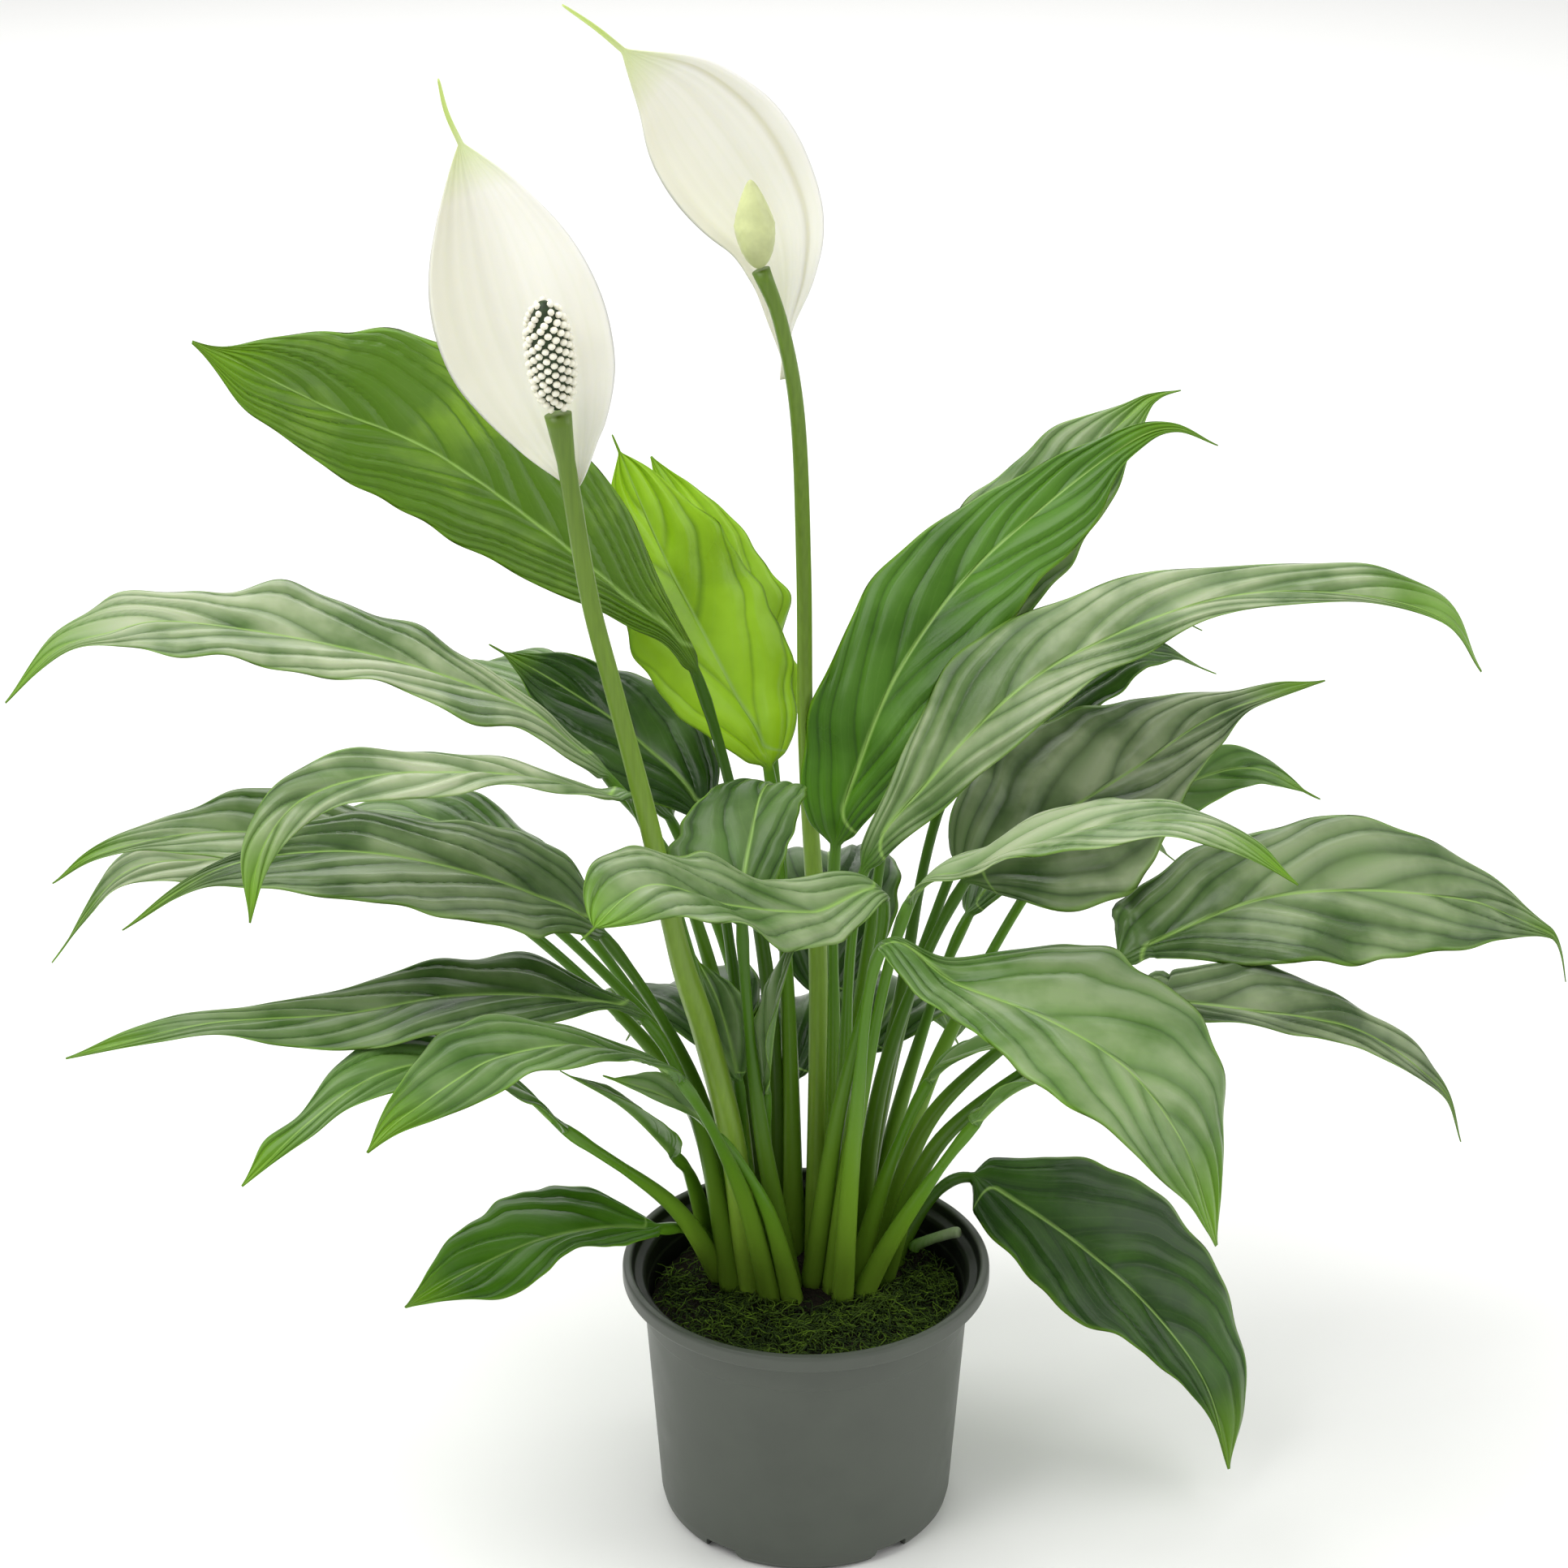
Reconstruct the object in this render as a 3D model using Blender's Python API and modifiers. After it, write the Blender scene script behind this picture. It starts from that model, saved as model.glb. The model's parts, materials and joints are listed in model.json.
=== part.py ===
"""Peace lily in a round nursery pot: solids for the pot, the soil, the crown, every leaf and both flowers.

The frame stands on the pot: the origin is on the pot's axis at the floor, +Z is up and -Y is the front.
Every leaf is one closed piece: a round stalk that flattens into a folded, pointed blade.
"""

import math
from dataclasses import dataclass

import bmesh
import bpy
from mathutils import Vector

MM = 0.001

# Pot: a thin thermoformed shell with a turned-out rim and a notched foot.
POT_STEPS = 60
RIM_RADIUS = 60.0
RIM_TOP = 90.0
NOTCHES = 5
NOTCH_WIDTH = 13.7
NOTCH_HEIGHT = 4.6
NOTCH_AT = 47.0
DRAIN_RADIUS = 3.4
DRAIN_AT = 36.0

# What lies inside the pot, from the floor up.
SOIL_FLOOR = 5.9
SOIL_TOP = 75.0
CROWN_CENTRE = (0.0, 16.0)
CROWN_RADII = (35.0, 25.0)
CROWN_TOP = 79.0
GAP = 0.3
FOOT = CROWN_TOP + GAP

# A leaf's sheath, stalk and blade.
SHEATH_RADIUS = 2.4
STALK_RADIUS = 1.5
BLADE_HALF = 0.5
SIDES = 8
STALK_SHARES = (0.0, 0.12, 0.35, 0.6, 0.85)

# Flowers: the stalks from the crown up, each spathe from its base to its tip, each spadix's two ends.
STALK_LEFT = [
    (-18, 2, FOOT), (-20, -2, 99), (-24, -10, 141), (-32, -18, 183), (-39, -26, 213), (-48, -32, 262),
    (-57, -32, 302), (-64, -30, 332), (-69, -29.5, 367), (-72, -30, 389),
]
STALK_RIGHT = [
    (3, 20, FOOT), (4, 33, 178), (0, 41, 250), (-1, 32, 317), (-3, 20, 371), (-8, 15, 402), (-14, 14, 419),
]
STUB = [(36, 20, FOOT + 2), (40, 19, 85), (48, 18, 88.5), (51, 17, 89.5)]
SPATHE_LEFT = [
    (-68, -26, 364), (-71, -21, 379), (-75, -17, 395), (-80, -15, 411), (-87, -13, 435), (-92, -13, 449),
    (-98, -14, 463), (-102, -15, 473), (-104, -16, 483),
]
SPATHE_RIGHT = [
    (-7, 22, 383), (-8, 25, 399), (-8, 27, 414), (-11, 29, 428), (-19, 30, 442), (-29, 29, 457),
    (-39, 26, 470), (-52, 22, 481), (-61, 20, 489), (-71, 20, 496),
]
SPADIX_LEFT = ((-72, -31, 390), (-75, -38, 426))
SPADIX_RIGHT = ((-14.5, 13, 420), (-17, 11, 447))

MOSS_AROUND = 48
MOSS_REACH = 47.0

# Colours, linear.
POT_GREY = (0.12, 0.14, 0.12)
SOIL_BROWN = (0.02, 0.014, 0.01)
CROWN_BROWN = (0.08, 0.06, 0.03)
MOSS_GREEN = (0.1, 0.2, 0.02)
LEAF_GREEN = (0.05, 0.16, 0.03)
STALK_GREEN = (0.12, 0.26, 0.05)
STUB_PALE = (0.45, 0.55, 0.3)
SPATHE_WHITE = (0.85, 0.83, 0.72)
SPADIX_IVORY = (0.75, 0.74, 0.6)
SPADIX_GREEN = (0.6, 0.68, 0.35)

# Shares of a blade's length where its outline is measured.
BLADE_SHARES = (0.0, 0.05, 0.13, 0.25, 0.4, 0.56, 0.7, 0.82, 0.92, 1.0)


@dataclass
class Leaf:
    """One leaf. Points are in millimetres and rolls in degrees; a positive roll lifts the blade's left side.

    foot is where the stalk leaves the crown, stalk the points on its way up, and blade runs from the
    collar to the tip. broadest is where along the blade it is widest, and taper how fast it comes to a
    point. Where edges are given, they are rows of a share of the blade's length and its half widths
    there, on the left and on the right.
    """

    name: str
    foot: tuple
    stalk: list
    blade: list
    width: float
    roll: float = 0.0
    tip_roll: float = 0.0
    fold: float = 0.08
    broadest: float = 0.42
    taper: float = 1.15
    edges: tuple = ()


LEAVES = (
    # The tall leaves behind the flowers.
    Leaf("upper_left", (-10, 27), [(-13, 30, 180)],
         [(-34, 30, 282), (-59, 33, 311), (-111, 35, 353), (-147, 30, 372), (-171, 20, 389), (-183, 15, 397)],
         66, -48, -40, broadest=0.56, taper=0.8,
         edges=((0, 2.5, 2.5), (0.1, 6, 4), (0.2, 10, 18), (0.3, 17, 26), (0.4, 21, 31), (0.5, 24, 34),
                (0.6, 25, 36), (0.7, 22, 32), (0.8, 18, 23), (0.9, 14, 9), (0.95, 7, 2), (1, 0, 0))),
    Leaf("bright_front", (-4, 24), [(-6, 32, 170)],
         [(-12, 45, 244), (-24, 58, 268), (-45, 72, 306), (-62, 80, 346)],
         50, -25, -25, broadest=0.45, taper=0.9),
    Leaf("bright_back", (-4, 31), [(-6, 50, 160)],
         [(-12, 78, 240), (-31, 100, 294), (-51, 114, 327)],
         36, -20, -20, taper=0.9,
         edges=((0, 3, 8), (0.1, 10, 13), (0.2, 14, 16), (0.3, 16, 13), (0.4, 17, 21), (0.5, 17, 18),
                (0.6, 16, 16), (0.7, 14, 14.5), (0.8, 10, 10), (0.9, 5, 5), (1, 0, 0))),
    Leaf("upper_right", (9, 23), [(9, 20, 160)],
         [(9, 20, 227), (17, 25, 257), (29, 35, 283), (49, 48, 308), (74, 60, 328), (101, 70, 346),
          (116, 74, 350), (131, 78, 343)],
         48, 42, 28, broadest=0.33, taper=1.25,
         edges=((0, 4, 3), (0.05, 12, 7), (0.1, 17, 12), (0.2, 21, 19), (0.3, 21, 22), (0.4, 24, 24),
                (0.5, 21, 22), (0.6, 17, 18), (0.7, 12, 18), (0.8, 7.5, 6), (0.9, 3, 2), (1, 0, 0))),
    Leaf("upper_right_back", (10, 31), [(18, 44, 160)],
         [(33, 62, 252), (61, 78, 298), (87, 92, 330), (107, 104, 346), (114, 107, 350), (122, 110, 351)],
         48, 20, 20,
         edges=((0, 3, 3), (0.1, 12, 10), (0.2, 18, 17), (0.4, 26, 22), (0.5, 25, 22), (0.6, 21, 20),
                (0.7, 17, 18), (0.8, 11, 13), (0.88, 5, 5), (0.94, 1.5, 1.5), (1, 0, 0))),
    Leaf("right_long", (11, 12), [(12, 5, 150)],
         [(17, 0, 227), (39, 5, 260), (64, 10, 286), (89, 16, 300), (126, 18, 314), (162, 12, 318),
          (192, 5, 313), (205, 0, 297)],
         42, 45, 5, broadest=0.33, taper=0.95,
         edges=((0, 3, 3), (0.1, 7, 9), (0.2, 18, 14), (0.3, 25, 17), (0.4, 23, 15), (0.5, 20, 14),
                (0.6, 14.5, 8), (0.7, 12.5, 9), (0.8, 15, 3.5), (0.9, 15, 4), (0.95, 9, 3), (1, 0, 0))),
    # The left side, from the highest leaf to the lowest.
    Leaf("left_high", (-18, 24), [(-25, 31, 150), (-40, 24, 215)],
         [(-61, 10, 256), (-74, 5, 272), (-88, 2, 285), (-121, -4, 301), (-156, -9, 312), (-191, -14, 319),
          (-209, -16, 316), (-225, -18, 311), (-240, -22, 296)],
         46, -15, -10, taper=1.0,
         edges=((0, 3, 3), (0.1, 11, 4), (0.19, 14, 6), (0.28, 24, 14), (0.37, 15, 20), (0.46, 19, 21),
                (0.55, 21, 29), (0.64, 20, 18), (0.73, 21, 15), (0.82, 6, 17), (0.91, 5, 6), (1, 0, 0))),
    Leaf("dark_left", (-15, 31), [(-22, 38, 160)],
         [(-33, 45, 227), (-54, 62, 247), (-78, 75, 260), (-104, 85, 272)],
         42, -25, -20),
    Leaf("left_arch", (-16, 9), [(-24, 4, 130), (-38, -8, 210)],
         [(-52, -20, 261), (-62, -25, 267), (-86, -42, 281), (-111, -60, 290), (-123, -71, 294),
          (-137, -82, 295),
          (-147, -91, 292), (-155, -98, 281), (-158, -104, 263)],
         26, 5, -35,
         edges=((0, 3, 3), (0.1, 8, 7), (0.2, 11, 10), (0.3, 11, 10), (0.4, 11, 11), (0.5, 14, 11),
                (0.6, 12, 12), (0.7, 9, 10), (0.8, 7, 8.5), (0.9, 3.5, 5), (1, 0, 0))),
    Leaf("left_mid", (-24, 11), [(-35, 4, 150)],
         [(-62, -25, 219), (-85, -32, 238), (-115, -42, 253), (-143, -50, 260), (-174, -56, 257),
          (-203, -60, 239)],
         56, -15, -10,
         edges=((0, 3, 3), (0.1, 13, 24), (0.2, 26, 29), (0.3, 25, 22), (0.4, 28, 19), (0.5, 30, 21),
                (0.6, 26, 15), (0.7, 17, 6), (0.8, 7.5, 3.5), (0.9, 2, 3), (1, 0, 0))),
    Leaf("left_far", (-25, 18), [(-38, 14, 150)],
         [(-90, 0, 221), (-124, -8, 239), (-157, -15, 249), (-186, -22, 253), (-214, -28, 249),
          (-229, -30, 240)],
         44, -10, -10,
         edges=((0, 3, 3), (0.2, 15, 15), (0.4, 20, 21), (0.5, 20, 23), (0.6, 18, 20), (0.7, 12, 12),
                (0.8, 5, 9), (0.9, 2.5, 4), (1, 0, 0))),
    Leaf("left_curl", (-24, 25), [(-42, 28, 140)],
         [(-102, 20, 210), (-152, 15, 225), (-190, 10, 229), (-215, 5, 226), (-238, 0, 198)],
         32, -10, -10),
    Leaf("left_low", (-25, 3), [(-33, -10, 140)],
         [(-49, -35, 195), (-73, -44, 208), (-106, -56, 215), (-139, -66, 214), (-178, -78, 217),
          (-217, -88, 211)],
         40, -10, -5,
         edges=((0, 3, 3), (0.1, 4, 6), (0.2, 15, 23), (0.3, 20, 18), (0.4, 22, 16), (0.5, 23, 14),
                (0.6, 19, 11), (0.7, 13, 5), (0.8, 6.5, 7.5), (0.9, 3, 6), (1, 0, 0))),
    Leaf("left_bent", (-29, 8), [(-43, -20, 122)],
         [(-73, -58, 170), (-86, -68, 189), (-104, -80, 205), (-125, -92, 208), (-145, -103, 198),
          (-164, -112, 182)],
         34, 0, -15,
         edges=((0, 3, 3), (0.2, 10, 9), (0.3, 14, 14), (0.4, 17, 17), (0.5, 15, 16), (0.6, 10, 13),
                (0.7, 6.5, 10), (0.8, 5.5, 4), (0.9, 2.5, 6.5), (1, 0, 0))),
    Leaf("front_left", (-12, -4), [(-21, -24, 130)],
         [(-38, -60, 188), (-55, -76, 206), (-71, -93, 218), (-89, -110, 223), (-99, -120, 222),
          (-109, -130, 219),
          (-117, -138, 216), (-123, -145, 212)],
         40, 0, -10,
         edges=((0, 3, 3), (0.1, 7, 6), (0.2, 10, 10), (0.3, 12, 14), (0.4, 14, 17), (0.5, 15, 19),
                (0.6, 15, 20), (0.7, 14, 17), (0.8, 11, 12), (0.9, 5, 6), (1, 0, 0))),
    Leaf("pot_left", (-30, 14), [(-36, 4, 98)],
         [(-47, -20, 113), (-65, -33, 121), (-85, -48, 125), (-106, -62, 122), (-123, -75, 118)],
         38, -15, -10,
         edges=((0, 3, 3), (0.1, 6, 10), (0.2, 10, 18), (0.3, 10.5, 20), (0.4, 8.5, 21), (0.5, 11.5, 21),
                (0.6, 17, 18), (0.7, 17.5, 15), (0.8, 13.5, 11), (0.9, 6, 5), (1, 0, 0))),
    Leaf("left_strap", (-31, 20), [(-37, 6, 115)],
         [(-42, -15, 137), (-57, -30, 163), (-76, -40, 181)],
         20, fold=0.3),
    Leaf("left_folded", (-5, -4), [(-13, -18, 120)],
         [(-27, -28, 150), (-42, -42, 172), (-62, -56, 188)],
         16, -30, -30, fold=0.3),
    Leaf("left_inner", (-11, 14), [(-20, 11, 120)],
         [(-22, 10, 150), (-28, 13, 176), (-36, 18, 192)],
         22, -20, -20),
    # The middle of the clump.
    Leaf("centre_fold", (2, 4), [(10, -12, 150)],
         [(23, -35, 236), (1, -50, 240), (-23, -70, 252), (-46, -90, 268), (-64, -115, 263)],
         46, -15, -15, broadest=0.55, taper=0.7),
    Leaf("centre_up", (-5, 3), [(-15, -14, 150)],
         [(-20, -28, 225), (-17, -14, 250), (-13, 4, 257), (-7, 18, 250)],
         36,
         edges=((0, 10, 4), (0.1, 18, 6), (0.2, 24, 10), (0.3, 25, 12), (0.4, 23, 13), (0.5, 21, 13.5),
                (0.6, 17, 14), (0.7, 13, 14), (0.8, 8, 13), (0.9, 4, 9), (1, 0, 0))),
    Leaf("centre_behind", (-9, 7), [(-12, 0, 120)],
         [(-13, -10, 156), (-9, -13, 193), (-1, -8, 218)],
         24, fold=0.2),
    # The right side, from the highest leaf to the lowest.
    Leaf("back_tip_high", (17, 30), [(30, 50, 150)],
         [(50, 76, 232), (104, 106, 272), (121, 114, 271), (134, 120, 263)],
         34, 10, 10),
    Leaf("back_tip_low", (17, 37), [(34, 66, 150)],
         [(62, 97, 213), (101, 122, 250), (121, 132, 250), (142, 140, 239)],
         34, 10, 10),
    Leaf("right_dark", (17, 22), [(26, 22, 150)],
         [(50, 25, 213), (75, 38, 227), (107, 55, 241), (134, 66, 255), (170, 78, 262)],
         64, 32, 15,
         edges=((0, 3, 3), (0.1, 22, 27), (0.2, 30, 37), (0.3, 34, 38), (0.4, 33, 32), (0.5, 28, 23),
                (0.6, 22.5, 17), (0.7, 13, 11), (0.8, 6.5, 3), (0.9, 5, 1.5), (1, 0, 0))),
    Leaf("right_front", (9, 1), [(16, -14, 150)],
         [(30, -40, 237), (49, -50, 254), (72, -62, 270), (94, -75, 281), (116, -88, 285), (138, -100, 273)],
         46, 0, 0,
         edges=((0, 3, 3), (0.1, 10, 5), (0.2, 22, 8), (0.3, 28, 14), (0.4, 27, 20), (0.5, 22, 23),
                (0.6, 16, 24), (0.7, 9, 21), (0.8, 4.5, 15), (0.9, 5, 5), (1, 0, 0))),
    Leaf("right_edge", (24, 27), [(44, 44, 140)],
         [(83, 72, 202), (122, 90, 217), (150, 100, 221), (176, 110, 205)],
         22, 20, 50),
    Leaf("right_wide", (25, 15), [(42, 9, 140)],
         [(97, 0, 197), (111, 4, 204), (142, 8, 216), (174, 13, 217), (208, 17, 212), (223, 19, 206),
          (236, 21, 199), (240, 21, 196), (243, 22, 189), (245, 22, 180)],
         64, 25, 20,
         edges=((0, 4, 4), (0.05, 14, 5), (0.1, 21, 8), (0.2, 25, 21), (0.3, 25, 29), (0.4, 28, 33),
                (0.5, 31, 31), (0.6, 27, 28), (0.7, 19, 22), (0.8, 10, 10), (0.87, 4, 3), (1, 0, 0))),
    Leaf("right_low", (26, 7), [(44, -8, 140)],
         [(100, -25, 196), (111, -28, 199), (134, -32, 198), (157, -35, 196), (169, -36, 193),
          (180, -37, 187),
          (190, -38, 179), (198, -38, 170), (203, -38, 155)],
         34, 10, 10,
         edges=((0, 4, 4), (0.1, 14, 8), (0.2, 20, 10), (0.3, 24, 8), (0.4, 20, 11), (0.5, 15, 10),
                (0.6, 10, 9), (0.7, 9.5, 9), (0.8, 7, 4), (0.87, 2.5, 2), (1, 0, 0))),
    Leaf("front_right", (12, -4), [(15, -24, 150)],
         [(22, -50, 228), (44, -68, 225), (69, -88, 224), (92, -105, 216), (108, -118, 197),
          (117, -125, 170)],
         74, 10, -10,
         edges=((0, 2, 2), (0.1, 2, 12), (0.16, 6, 13), (0.21, 20, 14), (0.3, 36, 18), (0.4, 40, 25),
                (0.5, 40, 33), (0.6, 40, 33), (0.7, 33, 30), (0.8, 21.5, 21), (0.9, 12.5, 8.5), (1, 0, 0))),
    Leaf("right_small", (20, 0), [(32, -8, 110)],
         [(53, -20, 151), (69, -35, 174), (90, -50, 184)],
         26, fold=0.2),
    Leaf("right_pale", (17, 7), [(26, 2, 120)],
         [(39, 0, 155), (53, -5, 169), (71, -10, 176)],
         18, fold=0.3),
    Leaf("pot_right", (30, 21), [(41, 27, 96)],
         [(54, 30, 103), (72, 27, 94), (94, 22, 79), (116, 15, 60), (134, 5, 37), (141, -8, 13)],
         68, 20, 5,
         edges=((0, 6, 9), (0.1, 16, 19), (0.2, 26, 22), (0.3, 34, 27), (0.4, 38, 28), (0.5, 38, 23),
                (0.6, 34, 18), (0.7, 30, 14), (0.8, 23, 9), (0.9, 14, 3), (1, 0, 0))),
    # The leaves at the back.
    Leaf("back_left", (-9, 37), [(-20, 56, 150)],
         [(-44, 78, 210), (-72, 100, 240), (-102, 122, 250), (-135, 138, 232)],
         48, 15, 10),
    Leaf("back_middle", (3, 38), [(4, 50, 120)],
         [(6, 62, 152), (8, 84, 178), (8, 112, 184), (6, 145, 160)],
         48),
    Leaf("back_right", (22, 33), [(34, 62, 120)],
         [(55, 92, 168), (80, 112, 188), (108, 130, 188), (132, 142, 166)],
         44, -10, -10),
    Leaf("low_left", (-16, 37), [(-22, 52, 105)],
         [(-28, 68, 128), (-38, 92, 140), (-52, 116, 128), (-64, 136, 98)],
         50),
    Leaf("low_middle", (-3, 39), [(-4, 52, 95)],
         [(-4, 66, 118), (-5, 90, 134), (-8, 114, 124), (-13, 139, 91)],
         34),
    Leaf("low_right", (9, 39), [(14, 57, 100)],
         [(20, 75, 124), (33, 98, 136), (45, 120, 124), (56, 140, 94)],
         48),
    Leaf("left_back", (-25, 31), [(-38, 42, 130)],
         [(-75, 60, 182), (-106, 76, 204), (-146, 94, 208), (-188, 108, 184)],
         46, 5, 5),
)


def clear_scene():
    for item in list(bpy.data.objects):
        bpy.data.objects.remove(item, do_unlink=True)


def new_collection(name):
    collection = bpy.data.collections.new(name)
    bpy.context.scene.collection.children.link(collection)
    return collection


def add_object(name, mesh, collection, colour, roughness=0.5):
    item = bpy.data.objects.new(name, mesh)
    collection.objects.link(item)
    if colour:
        material = bpy.data.materials.new(name)
        material.use_nodes = True
        shader = material.node_tree.nodes["Principled BSDF"]
        shader.inputs["Base Color"].default_value = (*colour, 1.0)
        shader.inputs["Roughness"].default_value = roughness
        mesh.materials.append(material)
    return item


def mesh_from(bm, name, smooth=True):
    mesh = bpy.data.meshes.new(name)
    for face in bm.faces:
        face.smooth = smooth
    bm.to_mesh(mesh)
    bm.free()
    return mesh


def revolve(name, profile, collection, colour, roughness=0.5):
    """A closed profile of (radius, height) in millimetres turned about the pot's axis."""
    mesh = bpy.data.meshes.new(name)
    points = [(r * MM, 0.0, z * MM) for r, z in profile]
    edges = [(i, i + 1) for i in range(len(points) - 1)]
    if profile[0][0] > 0 and profile[-1][0] > 0:
        edges.append((len(points) - 1, 0))
    mesh.from_pydata(points, edges, [])
    item = add_object(name, mesh, collection, colour, roughness)
    turn = item.modifiers.new("turn", "SCREW")
    turn.steps = POT_STEPS
    turn.render_steps = POT_STEPS
    turn.use_merge_vertices = True
    turn.merge_threshold = 1e-5
    turn.use_smooth_shade = True
    return item


def spline(points, per_span=16):
    """A smooth run of points through the given ones, leaving the first of them straight up."""
    knots = [Vector(p) for p in points]
    before = knots[1] - Vector((0.0, 0.0, 2 * (knots[1] - knots[0]).length))
    after = knots[-1] + (knots[-1] - knots[-2])
    knots = [before, *knots, after]
    run = []
    for i in range(1, len(knots) - 2):
        a, b, c, d = knots[i - 1 : i + 3]
        for k in range(per_span):
            t = k / per_span
            bend = (2 * a - 5 * b + 4 * c - d) * t**2 + (3 * b - a - 3 * c + d) * t**3
            run.append(0.5 * (2 * b + (c - a) * t + bend))
    run.append(knots[-2])
    return run


class Spine:
    """A smooth line that is read by the length along it."""

    def __init__(self, points, collar):
        self.run = spline(points)
        self.lengths = [0.0]
        for a, b in zip(self.run, self.run[1:]):
            self.lengths.append(self.lengths[-1] + (b - a).length)
        self.total = self.lengths[-1]
        self.collar = self.lengths[16 * collar]

    def at(self, length):
        length = min(max(length, 0.0), self.total)
        i = 1
        while i < len(self.lengths) - 1 and self.lengths[i] < length:
            i += 1
        share = (length - self.lengths[i - 1]) / (self.lengths[i] - self.lengths[i - 1])
        return self.run[i - 1].lerp(self.run[i], share)

    def direction(self, length):
        return (self.at(length + 1.0) - self.at(length - 1.0)).normalized()


def tube(rings, sides=SIDES):
    """A capped tube primitive with the given number of rings, one unit long for each ring."""
    bm = bmesh.new()
    depth = rings - 1.0
    bmesh.ops.create_cone(bm, cap_ends=True, segments=sides, radius1=1.0, radius2=1.0, depth=depth)
    bmesh.ops.translate(bm, verts=bm.verts, vec=(0.0, 0.0, depth / 2))
    sides_up = [e for e in bm.edges if abs(e.verts[0].co.z - e.verts[1].co.z) > 0.5]
    bmesh.ops.subdivide_edges(bm, edges=sides_up, cuts=rings - 2)
    return bm


def loft(name, spine, heading, stations, collection, colour, fold=0.15):
    """Lofts a tube along a spine.

    A station is (length, half width on the left, half width on the right, half thickness, roll in degrees).
    """
    bm = tube(len(stations))
    across = Vector((0.0, 0.0, 1.0)).cross(heading)
    for vert in bm.verts:
        length, left_half, right_half, thick, roll = stations[round(vert.co.z)]
        wide = left_half if vert.co.x > 0.0 else right_half
        ahead = spine.direction(length)
        side = (across - ahead * across.dot(ahead)).normalized()
        up = ahead.cross(side)
        turn = math.radians(roll)
        left = side * math.cos(turn) + up * math.sin(turn)
        normal = up * math.cos(turn) - side * math.sin(turn)
        out = vert.co.x * wide
        lift = vert.co.y * thick
        if wide > 2 * thick:
            lift += fold * abs(out)
        vert.co = (spine.at(length) + left * out + normal * lift) * MM
    return add_object(name, mesh_from(bm, name), collection, colour, 0.45)


def outline(share, broadest, taper):
    """A blade's width at a share of its length, as a share of its full width."""
    rise = taper * broadest / (1.0 - broadest)
    return (share / broadest) ** rise * ((1.0 - share) / (1.0 - broadest)) ** taper


def half_widths(leaf, share):
    """A blade's half widths on its left and on its right."""
    if not leaf.edges:
        half = outline(share, leaf.broadest, leaf.taper) * leaf.width / 2
        return half, half
    for (start, *near), (stop, *far) in zip(leaf.edges, leaf.edges[1:]):
        if share <= stop:
            part = (share - start) / (stop - start)
            return [a + (b - a) * part for a, b in zip(near, far)]
    return 0.0, 0.0


def make_leaf(leaf, collection):
    spine = Spine([(*leaf.foot, FOOT), *leaf.stalk, *leaf.blade], len(leaf.stalk) + 1)
    heading = Vector(leaf.blade[-1]) - Vector(leaf.blade[0])
    heading.z = 0.0
    stations = []
    for share in STALK_SHARES:
        radius = STALK_RADIUS + (SHEATH_RADIUS - STALK_RADIUS) * max(0.0, 1.0 - share / 0.5)
        stations.append((share * spine.collar, radius, radius, radius, leaf.roll))
    for share in BLADE_SHARES:
        halves = [max(half, BLADE_HALF * 0.6) for half in half_widths(leaf, share)]
        thick = BLADE_HALF * (1.2 - 0.5 * share)
        if share == 0.0:
            halves = (STALK_RADIUS, STALK_RADIUS)
            thick = STALK_RADIUS
        length = spine.collar + share * (spine.total - spine.collar)
        stations.append((length, *halves, thick, leaf.roll + (leaf.tip_roll - leaf.roll) * share))
    name = "leaf_" + leaf.name
    return loft(name, spine, heading.normalized(), stations, collection, LEAF_GREEN, leaf.fold)


def make_spathe(name, points, width, broadest, taper, roll, cup, collection):
    spine = Spine(points, 0)
    stations = []
    for share in BLADE_SHARES:
        half = max(outline(share, broadest, taper) * width / 2, 1.2 * (1.0 - share) + 0.3)
        stations.append((share * spine.total, half, half, 0.6, roll))
    return loft(name, spine, Vector((0.0, 1.0, 0.0)), stations, collection, SPATHE_WHITE, cup)


def make_stalk(name, points, foot_radius, top_radius, collection, colour, rings=13):
    spine = Spine(points, len(points) - 1)
    stations = []
    for k in range(rings):
        share = k / (rings - 1)
        radius = foot_radius + (top_radius - foot_radius) * min(1.0, share / 0.7)
        stations.append((share * spine.total, radius, radius, radius, 0.0))
    return loft(name, spine, Vector((0.0, 1.0, 0.0)), stations, collection, colour)


def make_spadix(name, foot, top, radius, collection, colour):
    """A blunt spike: a sphere drawn out along its own axis."""
    bm = bmesh.new()
    foot, top = Vector(foot), Vector(top)
    half = (top - foot).length / 2
    bmesh.ops.create_uvsphere(bm, u_segments=16, v_segments=12, radius=1.0)
    bmesh.ops.scale(bm, verts=bm.verts, vec=(radius, radius, half))
    turn = (top - foot).to_track_quat("Z", "Y").to_matrix()
    bmesh.ops.rotate(bm, verts=bm.verts, matrix=turn)
    bmesh.ops.translate(bm, verts=bm.verts, vec=(foot + top) / 2)
    bmesh.ops.scale(bm, verts=bm.verts, vec=(MM, MM, MM))
    return add_object(name, mesh_from(bm, name), collection, colour)


def make_cutter(name, sides, low, high, height, cutters):
    bm = bmesh.new()
    bmesh.ops.create_cone(
        bm, cap_ends=True, segments=sides, radius1=low * MM, radius2=high * MM, depth=height * MM
    )
    cutter = add_object(name, mesh_from(bm, name, smooth=False), cutters, None)
    cutter.display_type = "WIRE"
    return cutter


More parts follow.
